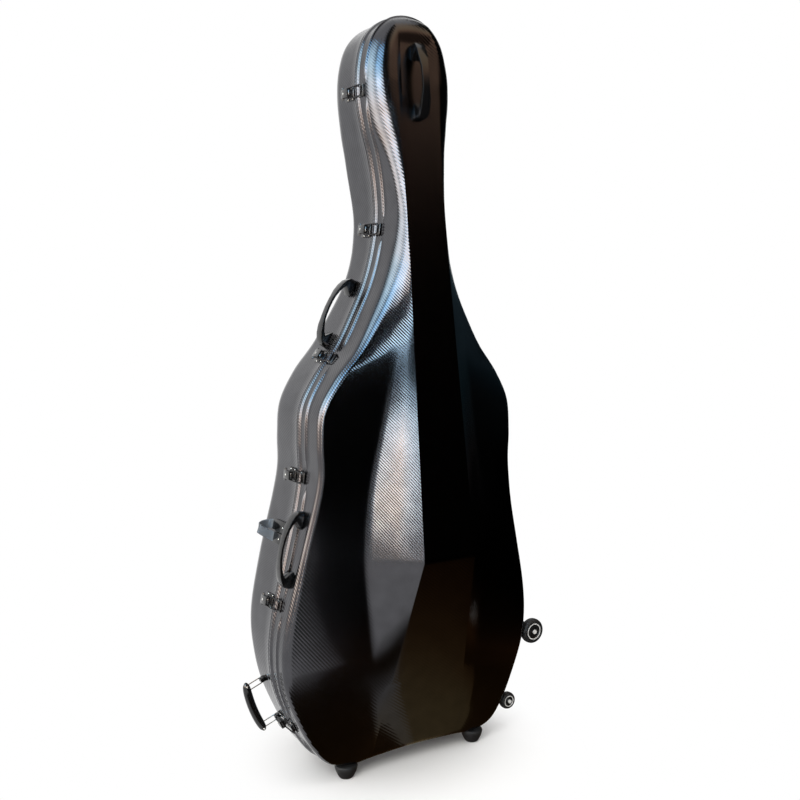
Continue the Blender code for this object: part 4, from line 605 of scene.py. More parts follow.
class Shell:
    """One half shell, its rows run from the parting line over the corner to the middle strip."""

    def __init__(self, sign, edge, section, bottom, top, blend_low, blend_high):
        self.sign, self.edge, self.section = sign, edge, section
        self.points, self.first, self.last = fine_stations()
        self.normals = outward(self.points)
        self.heights = self.inner_heights(bottom, top, blend_low, blend_high)

    def inner_heights(self, bottom, top, blend_low, blend_high):
        points, first, last = self.points, self.first, self.last
        run = np.concatenate([[0.0], np.cumsum(np.linalg.norm(np.diff(points, axis=0), axis=1))])
        low = next(k for k in range(first, last) if points[k, 1] > blend_low)
        high = next(k for k in range(last, first, -1) if points[k, 1] < blend_high)
        heights = points[:, 1].copy()
        for k in range(first, low):
            heights[k] = bottom + (points[low, 1] - bottom) * (run[k] - run[first]) / (run[low] - run[first])
        for k in range(high + 1, last + 1):
            heights[k] = top - (top - points[high, 1]) * (run[last] - run[k]) / (run[last] - run[high])
        heights[:first] = bottom
        heights[last + 1:] = top
        return heights

    def inner_point(self, k):
        height = self.heights[k]
        half, depth = self.edge(height)
        if k < self.first:
            half *= k / self.first
        elif k > self.last:
            half *= (len(self.points) - 1 - k) / (len(self.points) - 1 - self.last)
        return half, height, depth

    def row(self, k, breaks, start_at=None):
        rim, normal = self.points[k], self.normals[k]
        half, height, depth = self.inner_point(k)
        inner = np.array((half, height))
        full, _ = self.edge(height)
        run, corner, radius, crease, soft = self.section(rim, inner, full, depth)
        inward = (inner - rim) / run
        slope_run, rise = crease[0], crease[1] - corner
        turn = math.pi / 2 - math.atan2(rise, slope_run)
        reach = min(radius * math.tan(turn / 2), 0.85 * math.hypot(slope_run, rise), 0.85 * corner)
        radius = reach / math.tan(turn / 2)
        start = corner - reach

        def on_surface(offset, deep):
            if deep < start:
                return rim + normal * offset, deep
            angle = math.asin(min(max((deep - start) / radius, 0.0), 1.0))
            across = radius * (1 - math.cos(angle)) - offset * math.cos(angle)
            return rim + inward * across, start + (radius + offset) * math.sin(angle)

        profile = lip_profile() if start_at is None else [(0.0, start_at)]
        if breaks is not None:
            rise_here = BEAD_HEIGHT * bead_share(rim[1], breaks)
            profile += [(0.0, 0.020), (0.0, 0.028), (0.0, BEAD_DEPTH - BEAD_HALF)]
            for step in range(-3, 4):
                share = 0.5 + 0.5 * math.cos(math.pi * step / 4)
                profile.append((rise_here * share, BEAD_DEPTH + BEAD_HALF * step / 4))
            profile.append((0.0, BEAD_DEPTH + BEAD_HALF))
        last = profile[-1][1] + 0.003
        for step in range(1, 4):
            profile.append((0.0, last + (max(start, last + 0.002) - last) * step / 4))
        line = [on_surface(offset, deep) for offset, deep in profile]
        first_angle = math.asin(min(max((max(start, last + 0.002) - start) / radius, 0.0), 1.0))
        for step in range(ARC_STEPS + 1):
            angle = first_angle + (turn - first_angle) * step / ARC_STEPS
            line.append((rim + inward * radius * (1 - math.cos(angle)), start + radius * math.sin(angle)))
        end = line[-1]
        crease_at = (rim + inward * crease[0], crease[1])
        inner_at = (inner, depth)
        a, b, c = (np.array((*p[0], p[1])) for p in (end, crease_at, inner_at))
        back, ahead = np.linalg.norm(a - b), np.linalg.norm(c - b)
        reach = min(soft, 0.45 * back, 0.45 * ahead)
        p, q = b + (a - b) / max(back, 1e-9) * reach, b + (c - b) / max(ahead, 1e-9) * reach
        curve = [p * (1 - t) ** 2 + b * 2 * t * (1 - t) + q * t * t for t in np.linspace(0, 1, 6)]
        out = [(place[0], self.sign * deep, place[1]) for place, deep in line]
        out += [(v[0], self.sign * v[2], v[1]) for v in [(a + p) / 2] + curve + [(q + c) / 2]]
        out.append((half, self.sign * depth, height))
        return out

    def grid(self, breaks, start_at, strip_columns=3):
        """Open half surface on +X, from the parting line or from a depth that it starts at."""
        rows = [self.row(k, breaks, start_at) for k in range(len(self.points))]
        bm = bmesh.new()
        verts = [[bm.verts.new(p) for p in row] for row in rows]
        for low, high in zip(verts[:-1], verts[1:]):
            for j in range(len(low) - 1):
                bm.faces.new((low[j], high[j], high[j + 1], low[j + 1]))
        bands = []
        for k in range(self.first, self.last + 1):
            if k == self.first:
                band = [verts[int(c)][-1] for c in range(self.first + 1)]
            elif k == self.last:
                count = len(self.points) - 1 - self.last
                band = [verts[len(self.points) - 1 - c][-1] for c in range(count + 1)]
            else:
                half, height, depth = self.inner_point(k)
                band = [bm.verts.new((half * c / strip_columns, self.sign * depth, height))
                        for c in range(strip_columns)] + [verts[k][-1]]
            bands.append(band)
        for low, high in zip(bands[:-1], bands[1:]):
            if len(low) == len(high):
                for c in range(len(low) - 1):
                    bm.faces.new((low[c], low[c + 1], high[c + 1], high[c]))
            else:
                bm.faces.new(low + high[::-1])
        bmesh.ops.recalc_face_normals(bm, faces=bm.faces)
        middle = max(bm.faces, key=lambda f: self.sign * f.calc_center_median().y)
        if middle.normal.y * self.sign < 0:
            bmesh.ops.reverse_faces(bm, faces=bm.faces)
        return bm

    def halves(self, right_breaks, left_breaks, start_at=None):
        """Both halves merged, in the row frame."""
        right, left = self.grid(right_breaks, start_at), self.grid(left_breaks, start_at)
        bmesh.ops.scale(left, vec=(-1.0, 1.0, 1.0), verts=left.verts)
        bmesh.ops.reverse_faces(left, faces=left.faces)
        mesh = mesh_of(left)
        right.from_mesh(mesh)
        bmesh.ops.remove_doubles(right, verts=right.verts, dist=0.00001)
        bmesh.ops.translate(right, vec=SHIFT, verts=right.verts)
        return right


def weave_map(mesh, edge):
    """Map that follows the surface: distance across the shell from its middle, and height."""
    layer = mesh.uv_layers.new(name="weave")
    co = np.empty(len(mesh.vertices) * 3)
    mesh.vertices.foreach_get("co", co)
    co = co.reshape(-1, 3) - np.array(SHIFT)
    heights = np.linspace(0.0, 2.0, 401)
    crown = np.interp(co[:, 2], heights, [edge(h)[1] for h in heights])
    fall = np.maximum(0.0, crown - np.abs(co[:, 1]))
    across = co[:, 0] + np.sign(co[:, 0]) * fall
    corners = np.empty(len(mesh.loops), dtype=int)
    mesh.loops.foreach_get("vertex_index", corners)
    layer.data.foreach_set("uv", np.stack([across[corners], co[corners, 2]], axis=1).ravel())


def shell_piece(name, shell, right, left, body, node, strip_edges):
    bm = shell.halves(right, left)
    if strip_edges:
        layer = bm.edges.layers.float.new("bevel_weight_edge")
        for edge in bm.edges:
            if len(edge.link_faces) == 2 and edge.calc_face_angle(0.0) > math.radians(11):
                spot = (edge.verts[0].co + edge.verts[1].co) / 2 - SHIFT
                half, depth = front_edge(min(max(spot.z, STRIP_BOTTOM[0]), STRIP_TOP[0]))
                if abs(abs(spot.x) - half) < 0.004 and abs(-spot.y - depth) < 0.004:
                    edge[layer] = 1.0
    made = scratch(mesh_of(bm, name))
    if strip_edges:
        ease = made.modifiers.new("strip edge", "BEVEL")
        ease.limit_method = "WEIGHT"
        ease.width = 0.0035
        ease.segments = 3
    wall = made.modifiers.new("wall", "SOLIDIFY")
    wall.thickness = WALL
    wall.offset = -1.0
    wall.use_even_offset = True
    mesh = settled(made)
    weave_map(mesh, shell.edge)
    return piece(name, mesh, LAMINATE, body, (node,), 24.0)


FRONT = Shell(-1, front_edge, front_section, STRIP_BOTTOM[0], STRIP_TOP[0], 0.30, 1.80)
BACK = Shell(1, back_edge, back_section, SPINE_BOTTOM, SPINE_TOP, 0.36, 1.78)
shell_piece("lid_laminate", FRONT, RIGHT_BREAKS, LEFT_BREAKS, "lid", "front_shell", True)
shell_piece("case_laminate", BACK, None, None, "back_case", "back_shell", False)


# Handles


def oval(half_long, half_wide, fullness, count=20):
    """Superellipse round the origin as (along, across) points; fullness 2 is an ellipse."""
    ring = []
    for k in range(count):
        angle = 2 * math.pi * k / count
        c, s = math.cos(angle), math.sin(angle)
        ring.append((half_long * math.copysign(abs(c) ** (2 / fullness), c),
                     half_wide * math.copysign(abs(s) ** (2 / fullness), s)))
    return ring


def add_handles():
    for node, body in (("upper_side_handle", "back_case"), ("lower_side_handle", "lid"), ("head_handle", "lid")):
        eased(node, GLOSS, body, 0.0017, 3, 40.0)


# Latches

LATCH_PIVOT = (0.0215, 0.0112)
LEVER_OUTER = 0.0110
BAIL_RADIUS = 0.0017
BAIL_ROOT = (0.0315, 0.0092)
BAIL_REACH = -0.0300
BAIL_DROP = 0.0080


def add_latch(number):
    place = seat(f"latch_{number}")
    eased(f"latch_{number}_base", POWDER, "back_case", 0.0006)
    eased(f"latch_{number}_keeper", POWDER, "lid", 0.0007)
    eased(f"latch_{number}_lever", POWDER, f"latch_{number}_lever", 0.0008, 3)

    side = LEVER_OUTER + BAIL_RADIUS + 0.0009
    root_y, root_z = BAIL_ROOT
    corners = [(LEVER_OUTER, root_y, root_z), (side, root_y, root_z), (side, BAIL_REACH, BAIL_DROP)]
    corners += [(-x, y, z) for x, y, z in reversed(corners)]
    bail = wire(bent(corners, 0.0045), BAIL_RADIUS)
    bail.transform(place)
    piece(f"latch_{number}_bail_wire", bail, BLACK_NICKEL, f"latch_{number}_bail", (f"latch_{number}_bail",))

    button = lathe([(0.0, 0.0012), (0.0022, 0.0011), (0.0034, 0.0006), (0.0038, -0.0006), (0.0, -0.0006)],
                   28, Matrix.Identity(4))
    button.transform(place @ Matrix.Translation((0.0, 0.0400, 0.0186)) @ Matrix.Rotation(-0.22, 4, "X"))
    piece(f"latch_{number}_button", button, NICKEL, f"latch_{number}_lever")


# Carrying grip

GRIP_SPAN = 0.118
GRIP_STANDOFF = 0.050
GRIP_BOW = 0.008
GRIP_RADIUS = 0.0115
GRIP_OVERHANG = 0.017
LINK_WIDTH = 0.016
LINK_RADIUS = 0.0016
LINK_PIVOT = 0.0060
LINK_SEAT = 0.0075


def add_grip():
    pivot = seat("grip") @ Matrix.Translation((0.0, 0.0, LINK_PIVOT))
    reach = GRIP_SPAN / 2 + GRIP_OVERHANG
    sections = []
    for k in range(61):
        share = -1 + 2 * k / 60
        swell = 0.62 + 0.38 * max(0.0, 1 - (share / 0.92) ** 4) ** 0.5
        radius = GRIP_RADIUS * swell * max(0.02, 1 - abs(share) ** 18) ** 0.5
        middle = Vector((reach * share, 0.0, GRIP_STANDOFF - GRIP_BOW * share * share))
        lean = Vector((2 * GRIP_BOW * share, 0.0, reach)).normalized()
        sections.append([middle + lean * u + Vector((0.0, v, 0.0))
                         for u, v in oval(radius, radius, 2.0, 24)])
    sleeve = swept(sections)
    sleeve.transform(pivot)
    piece("grip_moulding", sleeve, GLOSS, "grip", ("grip_sleeve",), 60.0)

    out = GRIP_STANDOFF - GRIP_BOW - GRIP_RADIUS + LINK_SEAT
    for label, end in (("upper", 1), ("lower", -1)):
        low, high = (end * GRIP_SPAN / 2 + way * LINK_WIDTH / 2 for way in (-1, 1))
        link = wire(bent([(low, 0.0, out), (low, 0.0, 0.0), (high, 0.0, 0.0), (high, 0.0, out)], 0.004),
                    LINK_RADIUS)
        link.transform(pivot)
        piece(f"grip_{label}_wire", link, NICKEL, "grip", (f"grip_{label}_link",))
        eased(f"grip_{label}_mount", GLOSS, "back_case", 0.0009)
        rivet = lathe([(0.0, 0.0014), (0.0021, 0.0010), (0.0032, 0.0), (0.0032, -0.004), (0.0, -0.004)], 20,
                      pivot @ Matrix.Translation((end * reach * 0.87, -GRIP_RADIUS * 0.80, GRIP_STANDOFF
                                                  - GRIP_BOW * 0.87 ** 2))
                      @ Matrix.Rotation(math.radians(90), 4, "X"))
        piece(f"grip_{label}_rivet", rivet, NICKEL, "grip")


# Wheels and their brackets

LARGE_WHEEL = (0.0365, 0.0135)
SMALL_WHEEL = (0.0245, 0.0120)
WHEEL_START = 0.0555
WHEEL_WALL_GAP = 0.0055
AXLE_RADIUS = 0.0042
GAP = 0.0003


def rounded_tyre(radius, half, inner):
    """Tyre section as (radius, height): a full round tread on straight inner walls."""
    crown = [(inner + (radius * 0.998 - inner) * math.cos(a) ** 0.72, half * math.copysign(abs(math.sin(a)) ** 0.9, a))
             for a in np.linspace(-1.50, 1.50, 25)]
    return [(inner, -half * 0.93)] + crown + [(inner, half * 0.93)]


def add_wheel(end, size_name, size, body):
    radius, half = size
    stand_off = radius + WHEEL_WALL_GAP
    lay = seat(f"{end}_{size_name}") @ Matrix.Translation((0.0, WHEEL_START + half, stand_off))
    lay = lay @ Matrix.Rotation(math.radians(-90), 4, "X")
    small = size_name == "small"
    rim = radius * (0.66 if small else 0.70)
    wheel_body = f"{end}_{size_name}_wheel"
    stands_for = (f"{end}_small_wheel",) if small else (f"{end}_large_tyre",)
    piece(f"{end}_{size_name}_rubber", lathe(rounded_tyre(radius, half, rim), 72, lay), RUBBER, wheel_body,
          stands_for, 60.0)
    bore = AXLE_RADIUS + 0.0003
    face = [(bore, half - 0.0034), (radius * 0.26, half - 0.0034), (radius * 0.30, half - 0.0042),
            (radius * 0.52, half - 0.0042), (radius * 0.58, half - 0.0020), (rim - 0.0006, half - 0.0012),
            (rim - 0.0002, half - 0.0018)]
    back = [(rim - 0.0002, 0.0020 - half), (rim - 0.0008, 0.0012 - half), (bore, 0.0012 - half)]
    piece(f"{end}_{size_name}_rim", lathe(face + back, 72, lay), NYLON, wheel_body,
          () if small else (f"{end}_large_hub",))
    ring = [(radius * 0.62 + 0.0016 * math.cos(a), half - 0.0016 + 0.0010 * math.sin(a))
            for a in np.linspace(0, 2 * math.pi, 13)[:-1]]
    piece(f"{end}_{size_name}_ring", lathe(ring, 72, lay), SILVER, wheel_body)
    cap = 0.0058 if small else 0.0066
    profile = [(0.0, half + 0.0062), (cap * 0.55, half + 0.0056), (cap * 0.88, half + 0.0040),
               (cap, half + 0.0018), (cap, half - 0.0026), (0.0, half - 0.0026)]
    piece(f"{end}_{size_name}_cap", lathe(profile, 36, lay), SILVER, body)
    eased(f"{end}_{size_name}_bracket", NYLON, body, 0.0012, 3)


# Strap loop

LOOP_BAND = 0.024
LOOP_THICK = 0.0032
LOOP_ENDS = (0.012, -0.0195)
LOOP_MOUTHS = (0.034, 0.017)
LOOP_TAIL = 0.017
LOOP_LEAD = 0.003
LOOP_BACKMOST = (0.055, 0.021)
LOOP_OUTERMOST = (0.044, 0.0405)
POCKET_FLOOR = 0.002


def loop_route():
    """Middle line of the band in its seat: (along the wall, back, off the wall)."""
    level = POCKET_FLOOR + GAP + LOOP_THICK / 2
    (upper, lower), (mouth, last) = LOOP_ENDS, LOOP_MOUTHS
    start, end = Vector((upper, mouth + LOOP_LEAD, level)), Vector((lower, last + LOOP_LEAD, level))
    middle = (upper + lower) / 2
    backmost = Vector((middle + 0.009, *LOOP_BACKMOST))
    outermost = Vector((middle - 0.002, *LOOP_OUTERMOST))
    spans = [(start, (0.0, 0.012, 0.0), (0.003, 0.0, -0.010), backmost),
             (backmost, (-0.003, 0.0, 0.010), (0.002, 0.006, 0.001), outermost),
             (outermost, (-0.004, -0.010, -0.002), (0.0, 0.012, 0.002), end)]
    tail = Vector((0.0, LOOP_LEAD + LOOP_TAIL, 0.0))
    route = [start - tail, start - tail / 2]
    for low, leave, arrive, high in spans:
        for t in np.linspace(0.0, 1.0, 20, endpoint=False):
            a, d = low + Vector(leave), high + Vector(arrive)
            route.append(low * (1 - t) ** 3 + a * 3 * t * (1 - t) ** 2 + d * 3 * t * t * (1 - t)
                         + high * t ** 3)
    return route + [end, end - tail / 2, end - tail]


def add_strap_loop():
    place = seat("loop")
    route = loop_route()
    sections, runs = [], [0.0]
    for before, after in zip(route[:-1], route[1:]):
        runs.append(runs[-1] + (after - before).length)
    for k, spot in enumerate(route):
        ahead = (route[min(k + 1, len(route) - 1)] - route[max(k - 1, 0)]).normalized()
        wide = (Vector((1.0, 0.0, 0.0)) - ahead * ahead.x).normalized()
        out = ahead.cross(wide)
        sections.append([spot + wide * u + out * v
                         for u, v in oval(LOOP_BAND / 2, LOOP_THICK / 2, 7.0, 24)])
    band = swept(sections)
    layer = band.uv_layers.new(name="weave")
    for loop in band.loops:
        section, corner = divmod(loop.vertex_index, 24)
        layer.data[loop.index].uv = (runs[section], math.cos(2 * math.pi * corner / 24) * LOOP_BAND / 2)
    band.transform(place)
    piece("loop_band", band, WEBBING, "back_case", ("strap_loop",), 40.0)
    eased("strap_loop_clamp", GLOSS, "back_case", 0.0014, 3)


# Feet; then handles, latches, grip, wheels, feet, hinges and strap loop are put on

FOOT_RADIUS = 0.031
FOOT_BASE = 0.0165


def add_foot(end, side, body):
    low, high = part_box(f"{end}_{side}_foot")
    top = high[2] - low[2]
    middle = Matrix.Translation(((low[0] + high[0]) / 2, (low[1] + high[1]) / 2, low[2]))
    profile = [(0.0, top), (FOOT_RADIUS - 0.0040, top), (FOOT_RADIUS - 0.0012, top - 0.0008),
               (FOOT_RADIUS, top * 0.88), (FOOT_RADIUS - 0.0010, top * 0.74), (FOOT_RADIUS * 0.88, top * 0.48),
               (FOOT_RADIUS * 0.76, top * 0.28), (FOOT_BASE * 1.22, 0.0034), (FOOT_BASE * 1.06, 0.0006),
               (FOOT_BASE * 0.92, 0.0), (0.0, 0.0)]
    piece(f"{end}_{side}_rubber_foot", lathe(profile, 56, middle), RUBBER, body, (f"{end}_{side}_foot",), 50.0)


add_handles()
for number in range(1, 7):
    add_latch(number)
add_grip()
for end, body in (("back", "back_case"), ("front", "lid")):
    add_wheel(end, "large", LARGE_WHEEL, body)
    add_wheel(end, "small", SMALL_WHEEL, body)
    for side in ("left", "right"):
        add_foot(end, side, body)
for label in ("lower", "upper"):
    eased(f"{label}_hinge_back_leaf", POWDER, "back_case", 0.0005)
    eased(f"{label}_hinge_front_leaf", POWDER, "lid", 0.0005)
add_strap_loop()


# Inside: seal, linings and padding

SEAL_THICK = 0.003
SEAL_TONGUE = 0.008
SEAL_SEAT = 0.019
LINING = 0.008
LINING_GAP = 0.0006
LINING_STARTS = (LIP_END + 0.002, LIP_END + 0.008)
PAD_VOXEL = 0.004
PAD_TAKE_IN = 0.0015
PAD_SWELL = 0.005
PIPING = 0.0013


def add_seal():
    """Rubber gasket inside the back shell's edge, its tongue rounded where the lid closes over it."""
    outer, middle, end = WALL + GAP, SEAL_THICK / 2, -SEAL_TONGUE + SEAL_THICK / 2
    section = [(outer, SEAL_SEAT), (outer, 0.0)]
    section += [(outer + middle - middle * math.cos(a), end - middle * math.sin(a))
                for a in np.linspace(0.0, math.pi, 9)]
    section += [(outer + SEAL_THICK, 0.0), (outer + SEAL_THICK, SEAL_SEAT)]
    half = [[point - normal * inward for inward, _ in section] for point, normal in zip(FRONT.points, FRONT.normals)]
    ring = [[(x, z) for x, z in places] for places in half]
    ring += [[(-x, z) for x, z in places] for places in half[-2:0:-1]]
    seal = swept([[Vector((x, depth, z)) + SHIFT for (x, z), (_, depth) in zip(places, section)]
                  for places in ring], True)
    piece("rim_gasket", seal, SEAL, "back_case", ("rim_seal",), 40.0)


def add_lining(name, shell, start_at, body, node):
    """Velour on foam that is glued inside a shell, parallel to it, with a rolled edge."""
    made = scratch(mesh_of(shell.halves(None, None, start_at), name))
    foam = made.modifiers.new("foam", "SOLIDIFY")
    foam.thickness = LINING
    foam.offset = -(1.0 + 2.0 * (WALL + LINING_GAP) / LINING)
    foam.use_even_offset = True
    rolled = made.modifiers.new("rolled edge", "BEVEL")
    rolled.width = 0.0028
    rolled.segments = 3
    rolled.angle_limit = math.radians(60)
    piece(name, settled(made), PLUSH, body, (node,), 50.0)


def places_of(mesh, kind="vertices", key="co"):
    data = getattr(mesh, kind)
    out = np.empty(len(data) * 3)
    data.foreach_get(key, out)
    return out.reshape(-1, 3)


def cushion(name, node, glued, place, seam):
    """Foam in a sewn cloth cover: its solid swollen like a filled cover, flat where it is glued.

    glued points to the side that it is stuck on with; the piping runs round the cover where the
    plane at the height seam over its place cuts it.
    """
    made = scratch(node_mesh(node))
    grid = made.modifiers.new("grid", "REMESH")
    grid.mode = "VOXEL"
    grid.voxel_size = PAD_VOXEL
    mesh = settled(made)
    normals = places_of(mesh, "vertex_normals", "vector")
    held = normals @ np.array(glued) > 0.5
    start = places_of(mesh) - normals * np.where(held, 0.0, PAD_TAKE_IN)[:, None]
    mesh.vertices.foreach_set("co", start.ravel())
    made = scratch(mesh)
    fill = made.modifiers.new("fill", "CLOTH")
    fill.settings.use_pressure = True
    fill.settings.uniform_pressure_force = 4.0
    fill.settings.effector_weights.gravity = 0.0
    for step in range(1, 21):
        bpy.context.scene.frame_set(step)
    mesh = settled(made)
    bpy.context.scene.frame_set(1)
    moved = places_of(mesh) - start
    reach = np.linalg.norm(moved, axis=1)
    moved *= np.where(held, 0.0, np.minimum(1.0, PAD_SWELL / np.maximum(reach, 1e-9)))[:, None]
    mesh.vertices.foreach_set("co", (start + moved).ravel())
    made = scratch(mesh)
    finer = made.modifiers.new("finer", "SUBSURF")
    finer.levels = finer.render_levels = 1
    mesh = settled(made)
    cover = piece(name, mesh, CLOTH, "back_case", (node,), 60.0)

    shape = BVHTree.FromPolygons([v.co for v in mesh.vertices], [p.vertices for p in mesh.polygons])
    centre = place @ Vector((0.0, 0.0, seam))
    cord = []
    for angle in np.linspace(0.0, 2.0 * math.pi, 97)[:-1]:
        way = place.to_3x3() @ Vector((math.cos(angle), math.sin(angle), 0.0))
        hit = shape.ray_cast(centre + way * 0.3, -way)[0]
        cord.append(hit + way * PIPING * 0.3)
    piece(name + "_piping", wire(cord, PIPING, 3, True), PIPING_CLOTH, "back_case")


def add_padding():
    for side, inward in (("left", 1.0), ("right", -1.0)):
        place = seat(f"{side}_pad") @ Matrix.Translation((0.0, 0.060, 0.0))
        out = place.to_3x3() @ Vector((0.0, 0.0, 1.0))
        cushion(f"{side}_bout_cushion", f"{side}_bout_pad", -out, place, 0.017)
    low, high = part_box("neck_cradle")
    middle = (Vector(low) + Vector(high)) / 2
    place = Matrix.Translation((middle.x, high[1], middle.z)) @ Matrix.Rotation(math.radians(90), 4, "X")
    cushion("neck_rest", "neck_cradle", (0.0, 1.0, 0.0), place, 0.014)


# Rivets

RIVET_RADIUS = 0.0021
RIVET_HEIGHT = 0.0011


def rivet_heads():
    """Node group that sets a domed head on every point, standing the way the point's "out" says."""
    tree = bpy.data.node_groups.new("domed_rivets", "GeometryNodeTree")
    for name, kind in (("Places", "NodeSocketGeometry"), ("Head radius", "NodeSocketFloat"),
                       ("Head height", "NodeSocketFloat")):
        tree.interface.new_socket(name, in_out="INPUT", socket_type=kind)
    tree.interface.new_socket("Heads", in_out="OUTPUT", socket_type="NodeSocketGeometry")
    given = put(tree, "NodeGroupInput").outputs
    share = put(tree, "ShaderNodeMath", {"operation": "DIVIDE"}, {0: given["Head height"], 1: given["Head radius"]})
    flat = put(tree, "ShaderNodeCombineXYZ", {"X": 1.0, "Y": 1.0}, {"Z": share.outputs[0]})
    ball = put(tree, "GeometryNodeMeshUVSphere", {"Segments": 12, "Rings": 6}, {"Radius": given["Head radius"]})
    dome = put(tree, "GeometryNodeTransform", links={"Geometry": ball.outputs["Mesh"], "Scale": flat.outputs[0]})
    out = put(tree, "GeometryNodeInputNamedAttribute", {"data_type": "FLOAT_VECTOR", "Name": "out"})
    turn = put(tree, "FunctionNodeAlignRotationToVector", {"axis": "Z"}, {"Vector": out.outputs[0]})
    heads = put(tree, "GeometryNodeInstanceOnPoints", links={
        "Points": given["Places"], "Instance": dome.outputs[0], "Rotation": turn.outputs[0]})
    solid = put(tree, "GeometryNodeRealizeInstances", links={"Geometry": heads.outputs[0]})
    plated = put(tree, "GeometryNodeSetMaterial", {"Material": NICKEL}, {"Geometry": solid.outputs[0]})
    put(tree, "NodeGroupOutput", links={"Heads": plated.outputs[0]})
    return tree


def add_rivets(name, body, places):
    """One mesh of rivet heads on a body, from (fitting, along, across, height) on the fittings' seats."""
    points = bpy.data.meshes.new(name)
    seats = [seat(fitting) for fitting, *_ in places]
    points.from_pydata([made @ Vector(spot) for made, (_, *spot) in zip(seats, places)], [], [])
    ways = points.attributes.new("out", "FLOAT_VECTOR", "POINT")
    ways.data.foreach_set("vector", [v for made in seats for v in made.to_3x3().col[2]])
    made = scratch(points)
    heads = made.modifiers.new("heads", "NODES")
    heads.node_group = RIVETS
    sizes = {"Head radius": RIVET_RADIUS, "Head height": RIVET_HEIGHT}
    for socket in RIVETS.interface.items_tree:
        if socket.name in sizes:
            heads[socket.identifier] = sizes[socket.name]
    piece(name, settled(made), NICKEL, body, smooth=60.0)


def rivet_places():
    """Rivets of the case and of the lid, each (fitting, along the wall, across it, out of it)."""
    case, lid = [], []
    for number in range(1, 7):
        case += [(f"latch_{number}", x, y, 0.0028) for x in (-0.0152, 0.0152) for y in (0.0185, 0.0415)]
        lid += [(f"latch_{number}", x, -0.0185, 0.0024) for x in (-0.0125, 0.0125)]
    for label in ("lower_hinge", "upper_hinge"):
        for x in (-0.032, 0.0, 0.032):
            case.append((label, x, 0.036, 0.0025))
            lid.append((label, x, -0.036, 0.0025))
    for size_name, reach in (("large", 0.0225), ("small", 0.0165)):
        for x in (-reach, reach):
            for y in (0.0220, 0.0315):
                case.append((f"back_{size_name}", x, y, 0.004))
                lid.append((f"front_{size_name}", x, y, 0.004))
    case += [("loop", 0.012, -0.026, 0.0087), ("loop", -0.0195, -0.016, 0.0087)]
    return case, lid


RIVETS = rivet_heads()
add_seal()
for name, shell, start_at, body, node in (
        ("lid_lining", FRONT, LINING_STARTS[0], "lid", "front_lining"),
        ("case_lining", BACK, LINING_STARTS[1], "back_case", "back_lining")):
    add_lining(name, shell, start_at, body, node)
add_padding()
for name, body, places in zip(("case_rivets", "lid_rivets"), ("back_case", "lid"), rivet_places()):
    add_rivets(name, body, places)


# Studio: floor, lamps, cards that only reflections see, which paint the case's highlights and dark reflections, and
# the photograph's view

CARD_CENTRE = Vector((0.0, 0.0, 1.1))
CARD_RADIUS = 6.0
# Radius of the painted dark reflection sheets.
DARK_REFLECTION_RADIUS = 6.2
# Height of the painted floor reflection sheets.
PAINTED_FLOOR_REFLECTION_HEIGHT = 0.002
FLOOR_SHADE = (0.16, 0.50)


def glowing(name, strength, stops, axis, fades):
    """Emission that runs through colours along one way of a card and fades out at its edges."""
    made = bpy.data.materials.new(name)
    made.use_nodes = True
    tree = made.node_tree
    tree.nodes.remove(tree.nodes["Principled BSDF"])
    spot = put(tree, "ShaderNodeSeparateXYZ", links={0: put(tree, "ShaderNodeUVMap", {"uv_map": "card"}).outputs[0]})
    tone = put(tree, "ShaderNodeValToRGB", {"stops": stops}, {"Fac": spot.outputs[axis]})
    share = None
    for way, fade in enumerate(fades):
        near = put(tree, "ShaderNodeMath", {"operation": "PINGPONG", 1: 0.5}, {0: spot.outputs[way]})
        edge = put(tree, "ShaderNodeMapRange", {"interpolation_type": "SMOOTHSTEP", "From Max": fade},
                   {"Value": near.outputs[0]})
        if share is None:
            share = edge
        else:
            share = put(tree, "ShaderNodeMath", {"operation": "MULTIPLY"}, {0: share.outputs[0], 1: edge.outputs[0]})
    level = put(tree, "ShaderNodeMath", {"operation": "MULTIPLY", 1: strength}, {0: share.outputs[0]})
    glow = put(tree, "ShaderNodeEmission", links={"Color": tone.outputs[0], "Strength": level.outputs[0]})
    tree.links.new(glow.outputs[0], tree.nodes["Material Output"].inputs["Surface"])
    return made


def sheet_of(name, corners, spot, finish):
    """Sheet between four corners that only reflections see, so its colour is a painted reflection and lights nothing;
    spot places a pair of numbers in space.
    """
    bm = bmesh.new()
    place = bm.loops.layers.uv.new("card")
    steps = np.linspace(0.0, 1.0, 17)
    low_left, low_right, high_right, high_left = (np.array(c) for c in corners)
    grid = [[bm.verts.new(spot(*((low_left * (1 - u) + low_right * u) * (1 - v)
                                 + (high_left * (1 - u) + high_right * u) * v))) for u in steps] for v in steps]
    for j in range(len(steps) - 1):
        for k in range(len(steps) - 1):
            cells = [(j, k), (j, k + 1), (j + 1, k + 1), (j + 1, k)]
            face = bm.faces.new([grid[row][column] for row, column in cells])
            for loop, (row, column) in zip(face.loops, cells):
                loop[place].uv = (steps[column], steps[row])
    made = scratch(mesh_of(bm, name), name)
    made.data.materials.append(finish)
    made.visible_camera = False
    made.visible_diffuse = False
    made.visible_shadow = False
    made.visible_transmission = False


def card(name, corners, strength, stops, axis=1, fades=(0.001, 0.001), radius=CARD_RADIUS):
    """Curved glowing card round the case that only reflections see: a painted reflection or highlight, lighting
    nothing; its corners are (turn, rise) in degrees.

    turn counts from straight in front towards the hinges, rise from the level.
    """
    def spot(turn, rise):
        way, high = math.radians(turn), math.radians(rise)
        return CARD_CENTRE + radius * Vector((math.cos(high) * math.sin(way),
                                              -math.cos(high) * math.cos(way), math.sin(high)))
    sheet_of(name, corners, spot, glowing(name, strength, stops, axis, fades))


